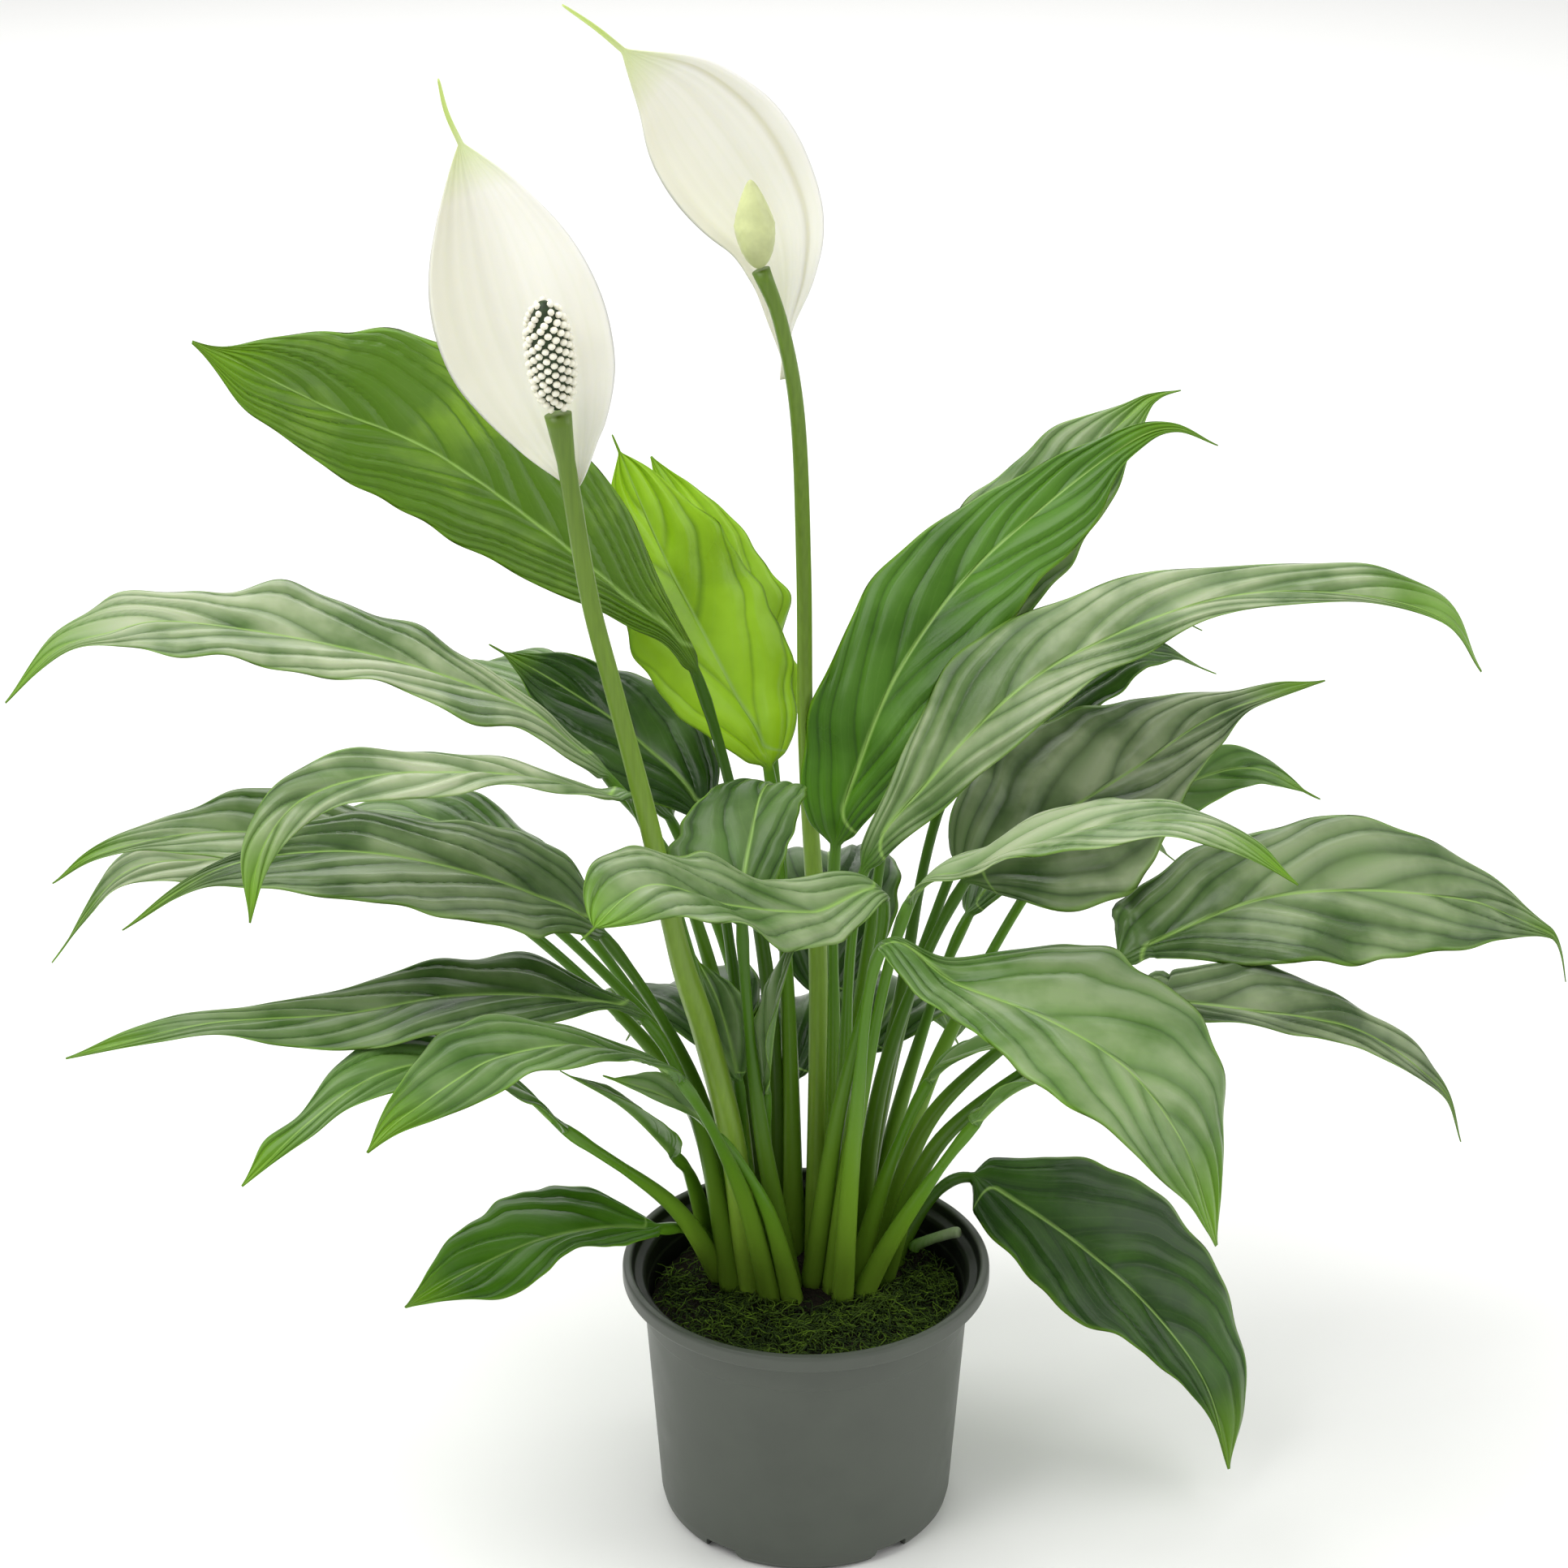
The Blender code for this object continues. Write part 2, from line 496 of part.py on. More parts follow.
def make_pot(collection, cutters):
    outer = [
        (57.6, RIM_TOP), (59.3, 89.7), (RIM_RADIUS, 88.8), (RIM_RADIUS, 85.2), (59.4, 84.3), (55.0, 84.0),
        (54.2, 83.2), (53.4, 73.4), (52.9, 72.8), (48.2, 6.0), (47.4, 2.6), (45.6, 0.5), (44.6, 0.0),
    ]
    inner = [
        (42.2, 0.0), (41.4, 0.8), (41.0, 3.9), (0.0, 3.9), (0.0, 5.6), (43.6, 5.6), (46.2, 8.0),
        (51.5, 72.8), (52.2, 84.6), (53.2, 85.6), (56.4, 86.2), (56.8, 89.4),
    ]
    pot = revolve("pot", outer + inner, collection, POT_GREY, 0.55)
    for k in range(NOTCHES):
        angle = (k + 0.5) * math.tau / NOTCHES - math.pi / 2
        low, high = NOTCH_WIDTH * 0.8, NOTCH_WIDTH * 0.58
        notch = make_cutter(f"notch_cutter_{k}", 4, low, high, NOTCH_HEIGHT + 2, cutters)
        across, along = NOTCH_AT * math.cos(angle), NOTCH_AT * math.sin(angle)
        notch.location = (across * MM, along * MM, (NOTCH_HEIGHT / 2 - 1) * MM)
        notch.rotation_euler.z = angle + math.pi / 4
        drain = make_cutter(f"drain_cutter_{k}", 16, DRAIN_RADIUS, DRAIN_RADIUS, 12.0, cutters)
        drain.location = (DRAIN_AT * math.cos(angle) * MM, DRAIN_AT * math.sin(angle) * MM, 4.0 * MM)
        for cutter in (notch, drain):
            cut = pot.modifiers.new(cutter.name, "BOOLEAN")
            cut.operation = "DIFFERENCE"
            cut.solver = "EXACT"
            cut.object = cutter
    return pot


def make_soil(collection):
    profile = [
        (0.0, SOIL_TOP), (30.0, SOIL_TOP), (46.0, SOIL_TOP - 0.6), (51.1, SOIL_TOP - 2.5),
        (45.8, 8.4), (43.3, SOIL_FLOOR), (0.0, SOIL_FLOOR),
    ]
    return revolve("potting_soil", profile, collection, SOIL_BROWN, 0.95)


def make_crown(collection):
    bm = bmesh.new()
    height = CROWN_TOP - SOIL_TOP - GAP
    bmesh.ops.create_cone(bm, cap_ends=True, segments=32, radius1=1.0, radius2=0.95, depth=height)
    bmesh.ops.scale(bm, verts=bm.verts, vec=(*CROWN_RADII, 1.0))
    bmesh.ops.translate(bm, verts=bm.verts, vec=(*CROWN_CENTRE, SOIL_TOP + GAP + height / 2))
    bmesh.ops.scale(bm, verts=bm.verts, vec=(MM, MM, MM))
    return add_object("crown", mesh_from(bm, "crown", smooth=False), collection, CROWN_BROWN, 0.9)


def make_moss(collection):
    """A lumpy collar of strand moss on the soil, between the crown and the pot's wall."""
    bpy.ops.mesh.primitive_torus_add(
        major_segments=MOSS_AROUND, minor_segments=10, major_radius=2.0, minor_radius=1.0
    )
    torus = bpy.context.object
    mesh = torus.data
    bpy.data.objects.remove(torus)
    crown = Vector(CROWN_CENTRE)
    for vert in mesh.vertices:
        angle = math.atan2(vert.co.y, vert.co.x)
        way = Vector((math.cos(angle), math.sin(angle)))
        near = crown + Vector((way.x * (CROWN_RADII[0] + 1.0), way.y * (CROWN_RADII[1] + 1.0)))
        reach = MOSS_REACH + 1.5 * math.sin(5 * angle)
        far = way * max(reach, near.length + 3.0)
        flat = near.lerp(far, (vert.co.xy.length - 1.0) / 2.0)
        lumps = 4.6 + 1.2 * math.sin(3 * angle + 1.0) + 0.9 * math.sin(7 * angle)
        height = SOIL_TOP + GAP + max(0.0, vert.co.z) * lumps
        vert.co = Vector((flat.x, flat.y, height)) * MM
    for face in mesh.polygons:
        face.use_smooth = True
    return add_object("moss", mesh, collection, MOSS_GREEN, 0.95)


def main():
    clear_scene()
    cutters = new_collection("cutters")
    cutters.hide_render = True
    plant = new_collection("peace_lily")
    make_pot(plant, cutters)
    make_soil(plant)
    make_crown(plant)
    make_moss(plant)
    for leaf in LEAVES:
        make_leaf(leaf, plant)
    make_stalk("flower_stalk_left", STALK_LEFT, 4.2, 2.8, plant, STALK_GREEN)
    make_stalk("flower_stalk_right", STALK_RIGHT, 3.2, 2.3, plant, STALK_GREEN)
    make_stalk("cut_stub", STUB, 2.0, 1.8, plant, STUB_PALE, rings=5)
    make_spathe("spathe_left", SPATHE_LEFT, 60, 0.36, 1.15, -12, 0.3, plant)
    make_spathe("spathe_right", SPATHE_RIGHT, 46, 0.42, 1.2, 10, 0.25, plant)
    make_spadix("spadix_left", *SPADIX_LEFT, 8.0, plant, SPADIX_IVORY)
    make_spadix("spadix_right", *SPADIX_RIGHT, 6.2, plant, SPADIX_GREEN)


if __name__ == "__main__":
    main()
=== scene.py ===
"""Looks for a potted peace lily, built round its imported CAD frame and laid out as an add-on.

Tables are in millimetres in the CAD's own frame: the origin is on the pot's axis at the floor,
+Z is up and -Y is the front. Meshes are in metres, with each object at the origin.
"""

import json
import math
from dataclasses import dataclass

import bmesh
import bpy
import numpy as np
from bpy.props import FloatProperty, FloatVectorProperty, IntProperty, PointerProperty
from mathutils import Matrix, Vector

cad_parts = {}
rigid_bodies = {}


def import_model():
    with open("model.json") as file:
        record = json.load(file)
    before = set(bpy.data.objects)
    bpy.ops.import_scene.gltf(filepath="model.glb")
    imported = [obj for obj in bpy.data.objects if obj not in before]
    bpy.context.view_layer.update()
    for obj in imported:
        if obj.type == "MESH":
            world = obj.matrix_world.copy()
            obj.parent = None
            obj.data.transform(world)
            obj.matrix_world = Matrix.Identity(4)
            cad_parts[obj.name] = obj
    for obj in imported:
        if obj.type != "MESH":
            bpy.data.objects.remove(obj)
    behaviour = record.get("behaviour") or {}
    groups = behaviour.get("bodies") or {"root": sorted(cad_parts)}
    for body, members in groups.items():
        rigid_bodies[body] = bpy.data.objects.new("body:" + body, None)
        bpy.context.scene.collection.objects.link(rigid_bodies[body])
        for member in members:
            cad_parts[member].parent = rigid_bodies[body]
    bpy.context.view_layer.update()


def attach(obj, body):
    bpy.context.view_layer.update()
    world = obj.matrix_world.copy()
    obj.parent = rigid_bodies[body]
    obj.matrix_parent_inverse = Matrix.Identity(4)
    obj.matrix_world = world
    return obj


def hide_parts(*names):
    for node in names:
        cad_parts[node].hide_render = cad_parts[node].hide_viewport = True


bl_info = {
    "name": "Potted Peace Lily",
    "version": (1, 0, 0),
    "blender": (4, 5, 0),
    "location": "3D View > Sidebar > Peace Lily",
    "description": "Builds a peace lily in a grey nursery pot, with moss on its soil and two flowers",
    "category": "Add Mesh",
}

MM = 0.001
BODY = "root"

for leftover in list(bpy.data.objects):
    bpy.data.objects.remove(leftover, do_unlink=True)
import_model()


def linear(code):
    """An sRGB hex colour as linear red, green, blue and alpha."""
    parts = [int(code[i : i + 2], 16) / 255 for i in (1, 3, 5)]
    return (*(c / 12.92 if c <= 0.04045 else ((c + 0.055) / 1.055) ** 2.4 for c in parts), 1.0)


# Where the plant stands: the crown's top, and how far each stalk goes on down into it.
CROWN_TOP = 79.0
FOOT = CROWN_TOP + 0.3
BURIED = 4.0
SOIL_TOP = 75.0
CROWN_CENTRE = (0.0, 16.0)
CROWN_RADII = (35.0, 25.0)

# Rings and sides of a leaf's mesh.
STALK_RINGS = 30
BLADE_RINGS = 140
LEAF_SIDES = 80

# The way that the flowers' stalks and spathes are laid out from.
BACKWARD = np.array((0.0, 1.0, 0.0))

# How far apart, in millimetres, two waves of a margin are.
WAVE_SPAN = (42.0, 60.0)

# The pot's outline, as radius and height: outside from the rim down, then inside back up to the rim.
POT_OUTER = [
    (57.6, 90.0), (59.5, 89.8), (60.0, 88.8), (60.0, 85.2), (59.4, 84.3), (55.2, 84.0), (54.2, 83.0),
    (53.4, 73.4), (52.8, 72.7), (48.2, 6.0), (47.4, 2.6), (45.8, 0.4), (44.6, 0.0),
]
POT_INNER = [
    (42.2, 0.0), (41.4, 0.8), (41.0, 3.9), (0.0, 3.9), (0.0, 5.6), (43.6, 5.6), (46.2, 8.0), (51.4, 72.8),
    (51.6, 79.4), (52.2, 80.0), (52.5, 84.8), (53.4, 86.0), (56.2, 86.6), (56.8, 89.4),
]
NOTCHES = 5
DRAIN_RADIUS = 3.4
DRAIN_AT = 36.0

# Flowers: the stalks from the crown up, each spathe from its base to the end of its tail.
STALK_LEFT = [
    (-18, 2, FOOT), (-20, -2, 99), (-24, -10, 141), (-32, -18, 183), (-39, -26, 213), (-48, -32, 262),
    (-57, -32, 302), (-64, -30, 332), (-69, -29.5, 367), (-72, -30, 389),
]
STALK_RIGHT = [
    (3, 20, FOOT), (4, 33, 178), (0, 41, 250), (-1, 32, 317), (-3, 20, 371), (-8, 15, 402), (-14, 14, 419),
]
STUB = [(36, 20, FOOT + 2), (40, 19, 85), (48, 18, 88.5), (51, 17, 89.5)]
SPATHE_LEFT = [
    (-68, -26, 364), (-71, -21, 379), (-75, -17, 395), (-80, -15, 411), (-87, -13, 435), (-92, -13, 449),
    (-98, -14, 463), (-102, -15, 473), (-104, -16, 483),
]
SPATHE_RIGHT = [
    (-7, 22, 383), (-8, 25, 399), (-8, 27, 414), (-11, 29, 428), (-19, 30, 442), (-29, 29, 457),
    (-39, 26, 470), (-52, 22, 481), (-61, 20, 489), (-71, 20, 496),
]
SPADIX_LEFT = ((-72, -31, 390), (-75, -38, 426))
SPADIX_RIGHT = ((-14.5, 13, 420), (-17, 11, 447))
RIPE_RADIUS = 7.3
YOUNG_RADIUS = 6.0

# Copies of a repeated shape stand this far apart before they are moved into place.
COPY_GAP = 10.0

# The camera's place in metres, and its tilt up from straight down in degrees.
CAMERA_PLACE = (-0.0072, -1.0433, 0.7242)
CAMERA_TILT = 66.0

# Each lamp's name, the setting for its power and its share of that, its size and its place in metres.
LAMPS = (
    ("key_lamp", "key", 1.0, 1.6, (-0.9, -0.4, 1.9)),
    ("fill_lamp", "fill", 1.0, 1.4, (1.6, -0.1, 1.2)),
    ("back_lamp", "fill", 1.5, 1.8, (-0.2, 1.9, 1.5)),
)
LIT_POINT = (0.0, 0.0, 0.24)


@dataclass
class Leaf:
    """One leaf. Points are in millimetres and rolls in degrees; a positive roll lifts the blade's left side.

    foot is where the stalk leaves the crown, stalk the points on its way up, and blade runs from the
    collar to the tip. broadest is where along the blade it is widest, and taper how fast it comes to a
    point. wave is how far the margin swings, and arch how far the halves bow up. tone goes from a dark
    leaf at 0 to a light one at 1: partly the leaf's age, partly painted shade on leaves and stalks that
    sit in shade. bloom is how much silvery painted sheen lies on the crests. gap is the distance between
    side veins along the midrib, and lead how far they sweep forward. Where edges are given, they are rows
    of a share of the blade's length and its half widths there, on the left and on the right.
    """

    name: str
    foot: tuple
    stalk: list
    blade: list
    width: float
    roll: float = 0.0
    tip_roll: float = 0.0
    fold: float = 0.08
    broadest: float = 0.42
    taper: float = 1.15
    wave: float = 1.6
    arch: float = 0.3
    tone: float = 0.5
    young: bool = False
    painted_sheen: float = 0.3
    gap: float = 27.0
    lead: float = 0.75
    edges: tuple = ()


LEAVES = (
    # The tall leaves behind the flowers.
    Leaf("upper_left", (-10, 27), [(-13, 30, 180)],
         [(-34, 30, 282), (-59, 33, 311), (-111, 35, 353), (-147, 30, 372), (-171, 20, 389), (-183, 15, 397)],
         66, -48, -40, broadest=0.56, taper=0.8, wave=0.5, tone=-0.05, young=True, painted_sheen=0.05,
         gap=16.0, lead=0.6,
         edges=((0, 2.5, 2.5), (0.1, 6, 4), (0.2, 10, 18), (0.3, 17, 26), (0.4, 21, 31), (0.5, 24, 34),
                (0.6, 25, 36), (0.7, 22, 32), (0.8, 18, 23), (0.9, 14, 9), (0.95, 7, 2), (1, 0, 0))),
    Leaf("bright_front", (-4, 24), [(-6, 32, 170)],
         [(-12, 45, 244), (-24, 58, 268), (-45, 72, 306), (-62, 80, 346)],
         50, -25, -25, broadest=0.45, taper=0.9, tone=0.75, painted_sheen=0.05, young=True, gap=36.0, lead=0.6),
    Leaf("bright_back", (-4, 31), [(-6, 50, 160)],
         [(-12, 78, 240), (-31, 100, 294), (-51, 114, 327)],
         36, -20, -20, taper=0.9, tone=0.75, painted_sheen=0.1, young=True,
         edges=((0, 3, 8), (0.1, 10, 13), (0.2, 14, 16), (0.3, 16, 13), (0.4, 17, 21), (0.5, 17, 18),
                (0.6, 16, 16), (0.7, 14, 14.5), (0.8, 10, 10), (0.9, 5, 5), (1, 0, 0))),
    Leaf("upper_right", (9, 23), [(9, 20, 160)],
         [(9, 20, 227), (17, 25, 257), (29, 35, 283), (49, 48, 308), (74, 60, 328), (101, 70, 346),
          (116, 74, 350), (131, 78, 343)],
         48, 42, 28, broadest=0.33, taper=1.25, wave=1.0, tone=0.62, painted_sheen=0.05,
         edges=((0, 4, 3), (0.05, 12, 7), (0.1, 17, 12), (0.2, 21, 19), (0.3, 21, 22), (0.4, 24, 24),
                (0.5, 21, 22), (0.6, 17, 18), (0.7, 12, 18), (0.8, 7.5, 6), (0.9, 3, 2), (1, 0, 0))),
    Leaf("upper_right_back", (10, 31), [(18, 44, 160)],
         [(33, 62, 252), (61, 78, 298), (87, 92, 330), (107, 104, 346), (114, 107, 350), (122, 110, 351)],
         48, 20, 20, tone=0.6, painted_sheen=0.5,
         edges=((0, 3, 3), (0.1, 12, 10), (0.2, 18, 17), (0.4, 26, 22), (0.5, 25, 22), (0.6, 21, 20),
                (0.7, 17, 18), (0.8, 11, 13), (0.88, 5, 5), (0.94, 1.5, 1.5), (1, 0, 0))),
    Leaf("right_long", (11, 12), [(12, 5, 150)],
         [(17, 0, 227), (39, 5, 260), (64, 10, 286), (89, 16, 300), (126, 18, 314), (162, 12, 318),
          (192, 5, 313), (205, 0, 297)],
         42, 45, 5, broadest=0.33, taper=0.95, wave=0.8, tone=0.55, painted_sheen=0.75,
         edges=((0, 3, 3), (0.1, 7, 9), (0.2, 18, 14), (0.3, 25, 17), (0.4, 23, 15), (0.5, 20, 14),
                (0.6, 14.5, 8), (0.7, 12.5, 9), (0.8, 15, 3.5), (0.9, 15, 4), (0.95, 9, 3), (1, 0, 0))),
    # The left side, from the highest leaf to the lowest.
    Leaf("left_high", (-18, 24), [(-25, 31, 150), (-40, 24, 215)],
         [(-61, 10, 256), (-74, 5, 272), (-88, 2, 285), (-121, -4, 301), (-156, -9, 312), (-191, -14, 319),
          (-209, -16, 316), (-225, -18, 311), (-240, -22, 296)],
         46, -15, -10, taper=1.0, wave=1.0, painted_sheen=0.8,
         edges=((0, 3, 3), (0.1, 11, 4), (0.19, 14, 6), (0.28, 24, 14), (0.37, 15, 20), (0.46, 19, 21),
                (0.55, 21, 29), (0.64, 20, 18), (0.73, 21, 15), (0.82, 6, 17), (0.91, 5, 6), (1, 0, 0))),
    Leaf("dark_left", (-15, 31), [(-22, 38, 160)],
         [(-33, 45, 227), (-54, 62, 247), (-78, 75, 260), (-104, 85, 272)],
         42, -25, -20, tone=0.1, painted_sheen=0.05),
    Leaf("left_arch", (-16, 9), [(-24, 4, 130), (-38, -8, 210)],
         [(-52, -20, 261), (-62, -25, 267), (-86, -42, 281), (-111, -60, 290), (-123, -71, 294),
          (-137, -82, 295), (-147, -91, 292), (-155, -98, 281), (-158, -104, 263)],
         26, 5, -35, wave=1.0, tone=0.6, painted_sheen=1.0,
         edges=((0, 3, 3), (0.1, 8, 7), (0.2, 11, 10), (0.3, 11, 10), (0.4, 11, 11), (0.5, 14, 11),
                (0.6, 12, 12), (0.7, 9, 10), (0.8, 7, 8.5), (0.9, 3.5, 5), (1, 0, 0))),
    Leaf("left_mid", (-24, 11), [(-35, 4, 150)],
         [(-62, -25, 219), (-85, -32, 238), (-115, -42, 253), (-143, -50, 260), (-174, -56, 257),
          (-203, -60, 239)],
         56, -15, -10, wave=1.0, tone=0.3, painted_sheen=0.45,
         edges=((0, 3, 3), (0.1, 13, 24), (0.2, 26, 29), (0.3, 25, 22), (0.4, 28, 19), (0.5, 30, 21),
                (0.6, 26, 15), (0.7, 17, 6), (0.8, 7.5, 3.5), (0.9, 2, 3), (1, 0, 0))),
    Leaf("left_far", (-25, 18), [(-38, 14, 150)],
         [(-90, 0, 221), (-124, -8, 239), (-157, -15, 249), (-186, -22, 253), (-214, -28, 249),
          (-229, -30, 240)],
         44, -10, -10, wave=1.0, tone=0.6, painted_sheen=0.6,
         edges=((0, 3, 3), (0.2, 15, 15), (0.4, 20, 21), (0.5, 20, 23), (0.6, 18, 20), (0.7, 12, 12),
                (0.8, 5, 9), (0.9, 2.5, 4), (1, 0, 0))),
    Leaf("left_curl", (-24, 25), [(-42, 28, 140)],
         [(-102, 20, 210), (-152, 15, 225), (-190, 10, 229), (-215, 5, 226), (-238, 0, 198)],
         32, -10, -10, wave=1.0, painted_sheen=0.9),
    Leaf("left_low", (-25, 3), [(-33, -10, 140)],
         [(-49, -35, 195), (-73, -44, 208), (-106, -56, 215), (-139, -66, 214), (-178, -78, 217),
          (-217, -88, 211)],
         40, -10, -5, wave=1.0, tone=0.4, painted_sheen=0.35,
         edges=((0, 3, 3), (0.1, 4, 6), (0.2, 15, 23), (0.3, 20, 18), (0.4, 22, 16), (0.5, 23, 14),
                (0.6, 19, 11), (0.7, 13, 5), (0.8, 6.5, 7.5), (0.9, 3, 6), (1, 0, 0))),
    Leaf("left_bent", (-29, 8), [(-43, -20, 122)],
         [(-73, -58, 170), (-86, -68, 189), (-104, -80, 205), (-125, -92, 208), (-145, -103, 198),
          (-164, -112, 182)],
         34, 0, -15, wave=0.8, tone=0.7, painted_sheen=0.2,
         edges=((0, 3, 3), (0.2, 10, 9), (0.3, 14, 14), (0.4, 17, 17), (0.5, 15, 16), (0.6, 10, 13),
                (0.7, 6.5, 10), (0.8, 5.5, 4), (0.9, 2.5, 6.5), (1, 0, 0))),
    Leaf("front_left", (-12, -4), [(-21, -24, 130)],
         [(-38, -60, 188), (-55, -76, 206), (-71, -93, 218), (-89, -110, 223), (-99, -120, 222),
          (-109, -130, 219), (-117, -138, 216), (-123, -145, 212)],
         40, 0, -10, wave=0.8, tone=0.5, painted_sheen=0.25,
         edges=((0, 3, 3), (0.1, 7, 6), (0.2, 10, 10), (0.3, 12, 14), (0.4, 14, 17), (0.5, 15, 19),
                (0.6, 15, 20), (0.7, 14, 17), (0.8, 11, 12), (0.9, 5, 6), (1, 0, 0))),
    Leaf("pot_left", (-30, 14), [(-36, 4, 98)],
         [(-47, -20, 113), (-65, -33, 121), (-85, -48, 125), (-106, -62, 122), (-123, -75, 118)],
         38, -15, -10, wave=0.8, tone=0.75, painted_sheen=0.05,
         edges=((0, 3, 3), (0.1, 6, 10), (0.2, 10, 18), (0.3, 10.5, 20), (0.4, 8.5, 21), (0.5, 11.5, 21),
                (0.6, 17, 18), (0.7, 17.5, 15), (0.8, 13.5, 11), (0.9, 6, 5), (1, 0, 0))),
    Leaf("left_strap", (-31, 20), [(-37, 6, 115)],
         [(-42, -15, 137), (-57, -30, 163), (-76, -40, 181)],
         20, fold=0.3),
    Leaf("left_folded", (-5, -4), [(-13, -18, 120)],
         [(-27, -28, 150), (-42, -42, 172), (-62, -56, 188)],
         16, -30, -30, fold=0.3, tone=0.7),
    Leaf("left_inner", (-11, 14), [(-20, 11, 120)],
         [(-22, 10, 150), (-28, 13, 176), (-36, 18, 192)],
         22, -20, -20),
    # The middle of the clump.
    Leaf("centre_fold", (2, 4), [(10, -12, 150)],
         [(23, -35, 236), (1, -50, 240), (-23, -70, 252), (-46, -90, 268), (-64, -115, 263)],
         46, -15, -15, broadest=0.55, taper=0.7, wave=2.0, tone=0.5, painted_sheen=0.55),
    Leaf("centre_up", (-5, 3), [(-15, -14, 150)],
         [(-20, -28, 225), (-17, -14, 250), (-13, 4, 257), (-7, 18, 250)],
         36, wave=0.6, tone=0.25, painted_sheen=0.15,
         edges=((0, 10, 4), (0.1, 18, 6), (0.2, 24, 10), (0.3, 25, 12), (0.4, 23, 13), (0.5, 21, 13.5),
                (0.6, 17, 14), (0.7, 13, 14), (0.8, 8, 13), (0.9, 4, 9), (1, 0, 0))),
    Leaf("centre_behind", (-9, 7), [(-12, 0, 120)],
         [(-13, -10, 156), (-9, -13, 193), (-1, -8, 218)],
         24, fold=0.2),
    # The right side, from the highest leaf to the lowest.
    Leaf("back_tip_high", (17, 30), [(30, 50, 150)],
         [(50, 76, 232), (104, 106, 272), (121, 114, 271), (134, 120, 263)],
         34, 10, 10, tone=0.2, painted_sheen=0.05),
    Leaf("back_tip_low", (17, 37), [(34, 66, 150)],
         [(62, 97, 213), (101, 122, 250), (121, 132, 250), (142, 140, 239)],
         34, 10, 10, tone=0.2, painted_sheen=0.05),
    Leaf("right_dark", (17, 22), [(26, 22, 150)],
         [(50, 25, 213), (75, 38, 227), (107, 55, 241), (134, 66, 255), (170, 78, 262)],
         64, 32, 15, wave=1.0, tone=0.25, painted_sheen=0.65, gap=25.0, lead=0.5,
         edges=((0, 3, 3), (0.1, 22, 27), (0.2, 30, 37), (0.3, 34, 38), (0.4, 33, 32), (0.5, 28, 23),
                (0.6, 22.5, 17), (0.7, 13, 11), (0.8, 6.5, 3), (0.9, 5, 1.5), (1, 0, 0))),
    Leaf("right_front", (9, 1), [(16, -14, 150)],
         [(30, -40, 237), (49, -50, 254), (72, -62, 270), (94, -75, 281), (116, -88, 285), (138, -100, 273)],
         46, 0, 0, wave=0.8, tone=0.65, painted_sheen=0.75,
         edges=((0, 3, 3), (0.1, 10, 5), (0.2, 22, 8), (0.3, 28, 14), (0.4, 27, 20), (0.5, 22, 23),
                (0.6, 16, 24), (0.7, 9, 21), (0.8, 4.5, 15), (0.9, 5, 5), (1, 0, 0))),
    Leaf("right_edge", (24, 27), [(44, 44, 140)],
         [(83, 72, 202), (122, 90, 217), (150, 100, 221), (176, 110, 205)],
         22, 20, 50, tone=0.7, painted_sheen=0.3),
    Leaf("right_wide", (25, 15), [(42, 9, 140)],
         [(97, 0, 197), (111, 4, 204), (142, 8, 216), (174, 13, 217), (208, 17, 212), (223, 19, 206),
          (236, 21, 199), (240, 21, 196), (243, 22, 189), (245, 22, 180)],
         64, 25, 20, wave=0.7, tone=0.35, painted_sheen=0.5, gap=25.0, lead=0.5,
         edges=((0, 4, 4), (0.05, 14, 5), (0.1, 21, 8), (0.2, 25, 21), (0.3, 25, 29), (0.4, 28, 33),
                (0.5, 31, 31), (0.6, 27, 28), (0.7, 19, 22), (0.8, 10, 10), (0.87, 4, 3), (1, 0, 0))),
    Leaf("right_low", (26, 7), [(44, -8, 140)],
         [(100, -25, 196), (111, -28, 199), (134, -32, 198), (157, -35, 196), (169, -36, 193),
          (180, -37, 187), (190, -38, 179), (198, -38, 170), (203, -38, 155)],
         34, 10, 10, wave=0.8, tone=0.15, painted_sheen=0.5,
         edges=((0, 4, 4), (0.1, 14, 8), (0.2, 20, 10), (0.3, 24, 8), (0.4, 20, 11), (0.5, 15, 10),
                (0.6, 10, 9), (0.7, 9.5, 9), (0.8, 7, 4), (0.87, 2.5, 2), (1, 0, 0))),
    Leaf("front_right", (12, -4), [(15, -24, 150)],
         [(22, -50, 228), (44, -68, 225), (69, -88, 224), (92, -105, 216), (108, -118, 197),
          (117, -125, 170)],
         74, 10, -10, wave=0.7, tone=0.7, painted_sheen=0.45, gap=27.0, lead=0.45,
         edges=((0, 2, 2), (0.1, 2, 12), (0.16, 6, 13), (0.21, 20, 14), (0.3, 36, 18), (0.4, 40, 25),
                (0.5, 40, 33), (0.6, 40, 33), (0.7, 33, 30), (0.8, 21.5, 21), (0.9, 12.5, 8.5), (1, 0, 0))),
    Leaf("right_small", (20, 0), [(32, -8, 110)],
         [(53, -20, 151), (69, -35, 174), (90, -50, 184)],
         26, fold=0.2, tone=0.8, painted_sheen=0.3),
    Leaf("right_pale", (17, 7), [(26, 2, 120)],
         [(39, 0, 155), (53, -5, 169), (71, -10, 176)],
         18, fold=0.3, tone=0.8),
    Leaf("pot_right", (30, 21), [(41, 27, 96)],
         [(54, 30, 103), (72, 27, 94), (94, 22, 79), (116, 15, 60), (134, 5, 37), (141, -8, 13)],
         68, 20, 5, wave=0.7, tone=0.05, painted_sheen=0.02, gap=27.0, lead=0.45,
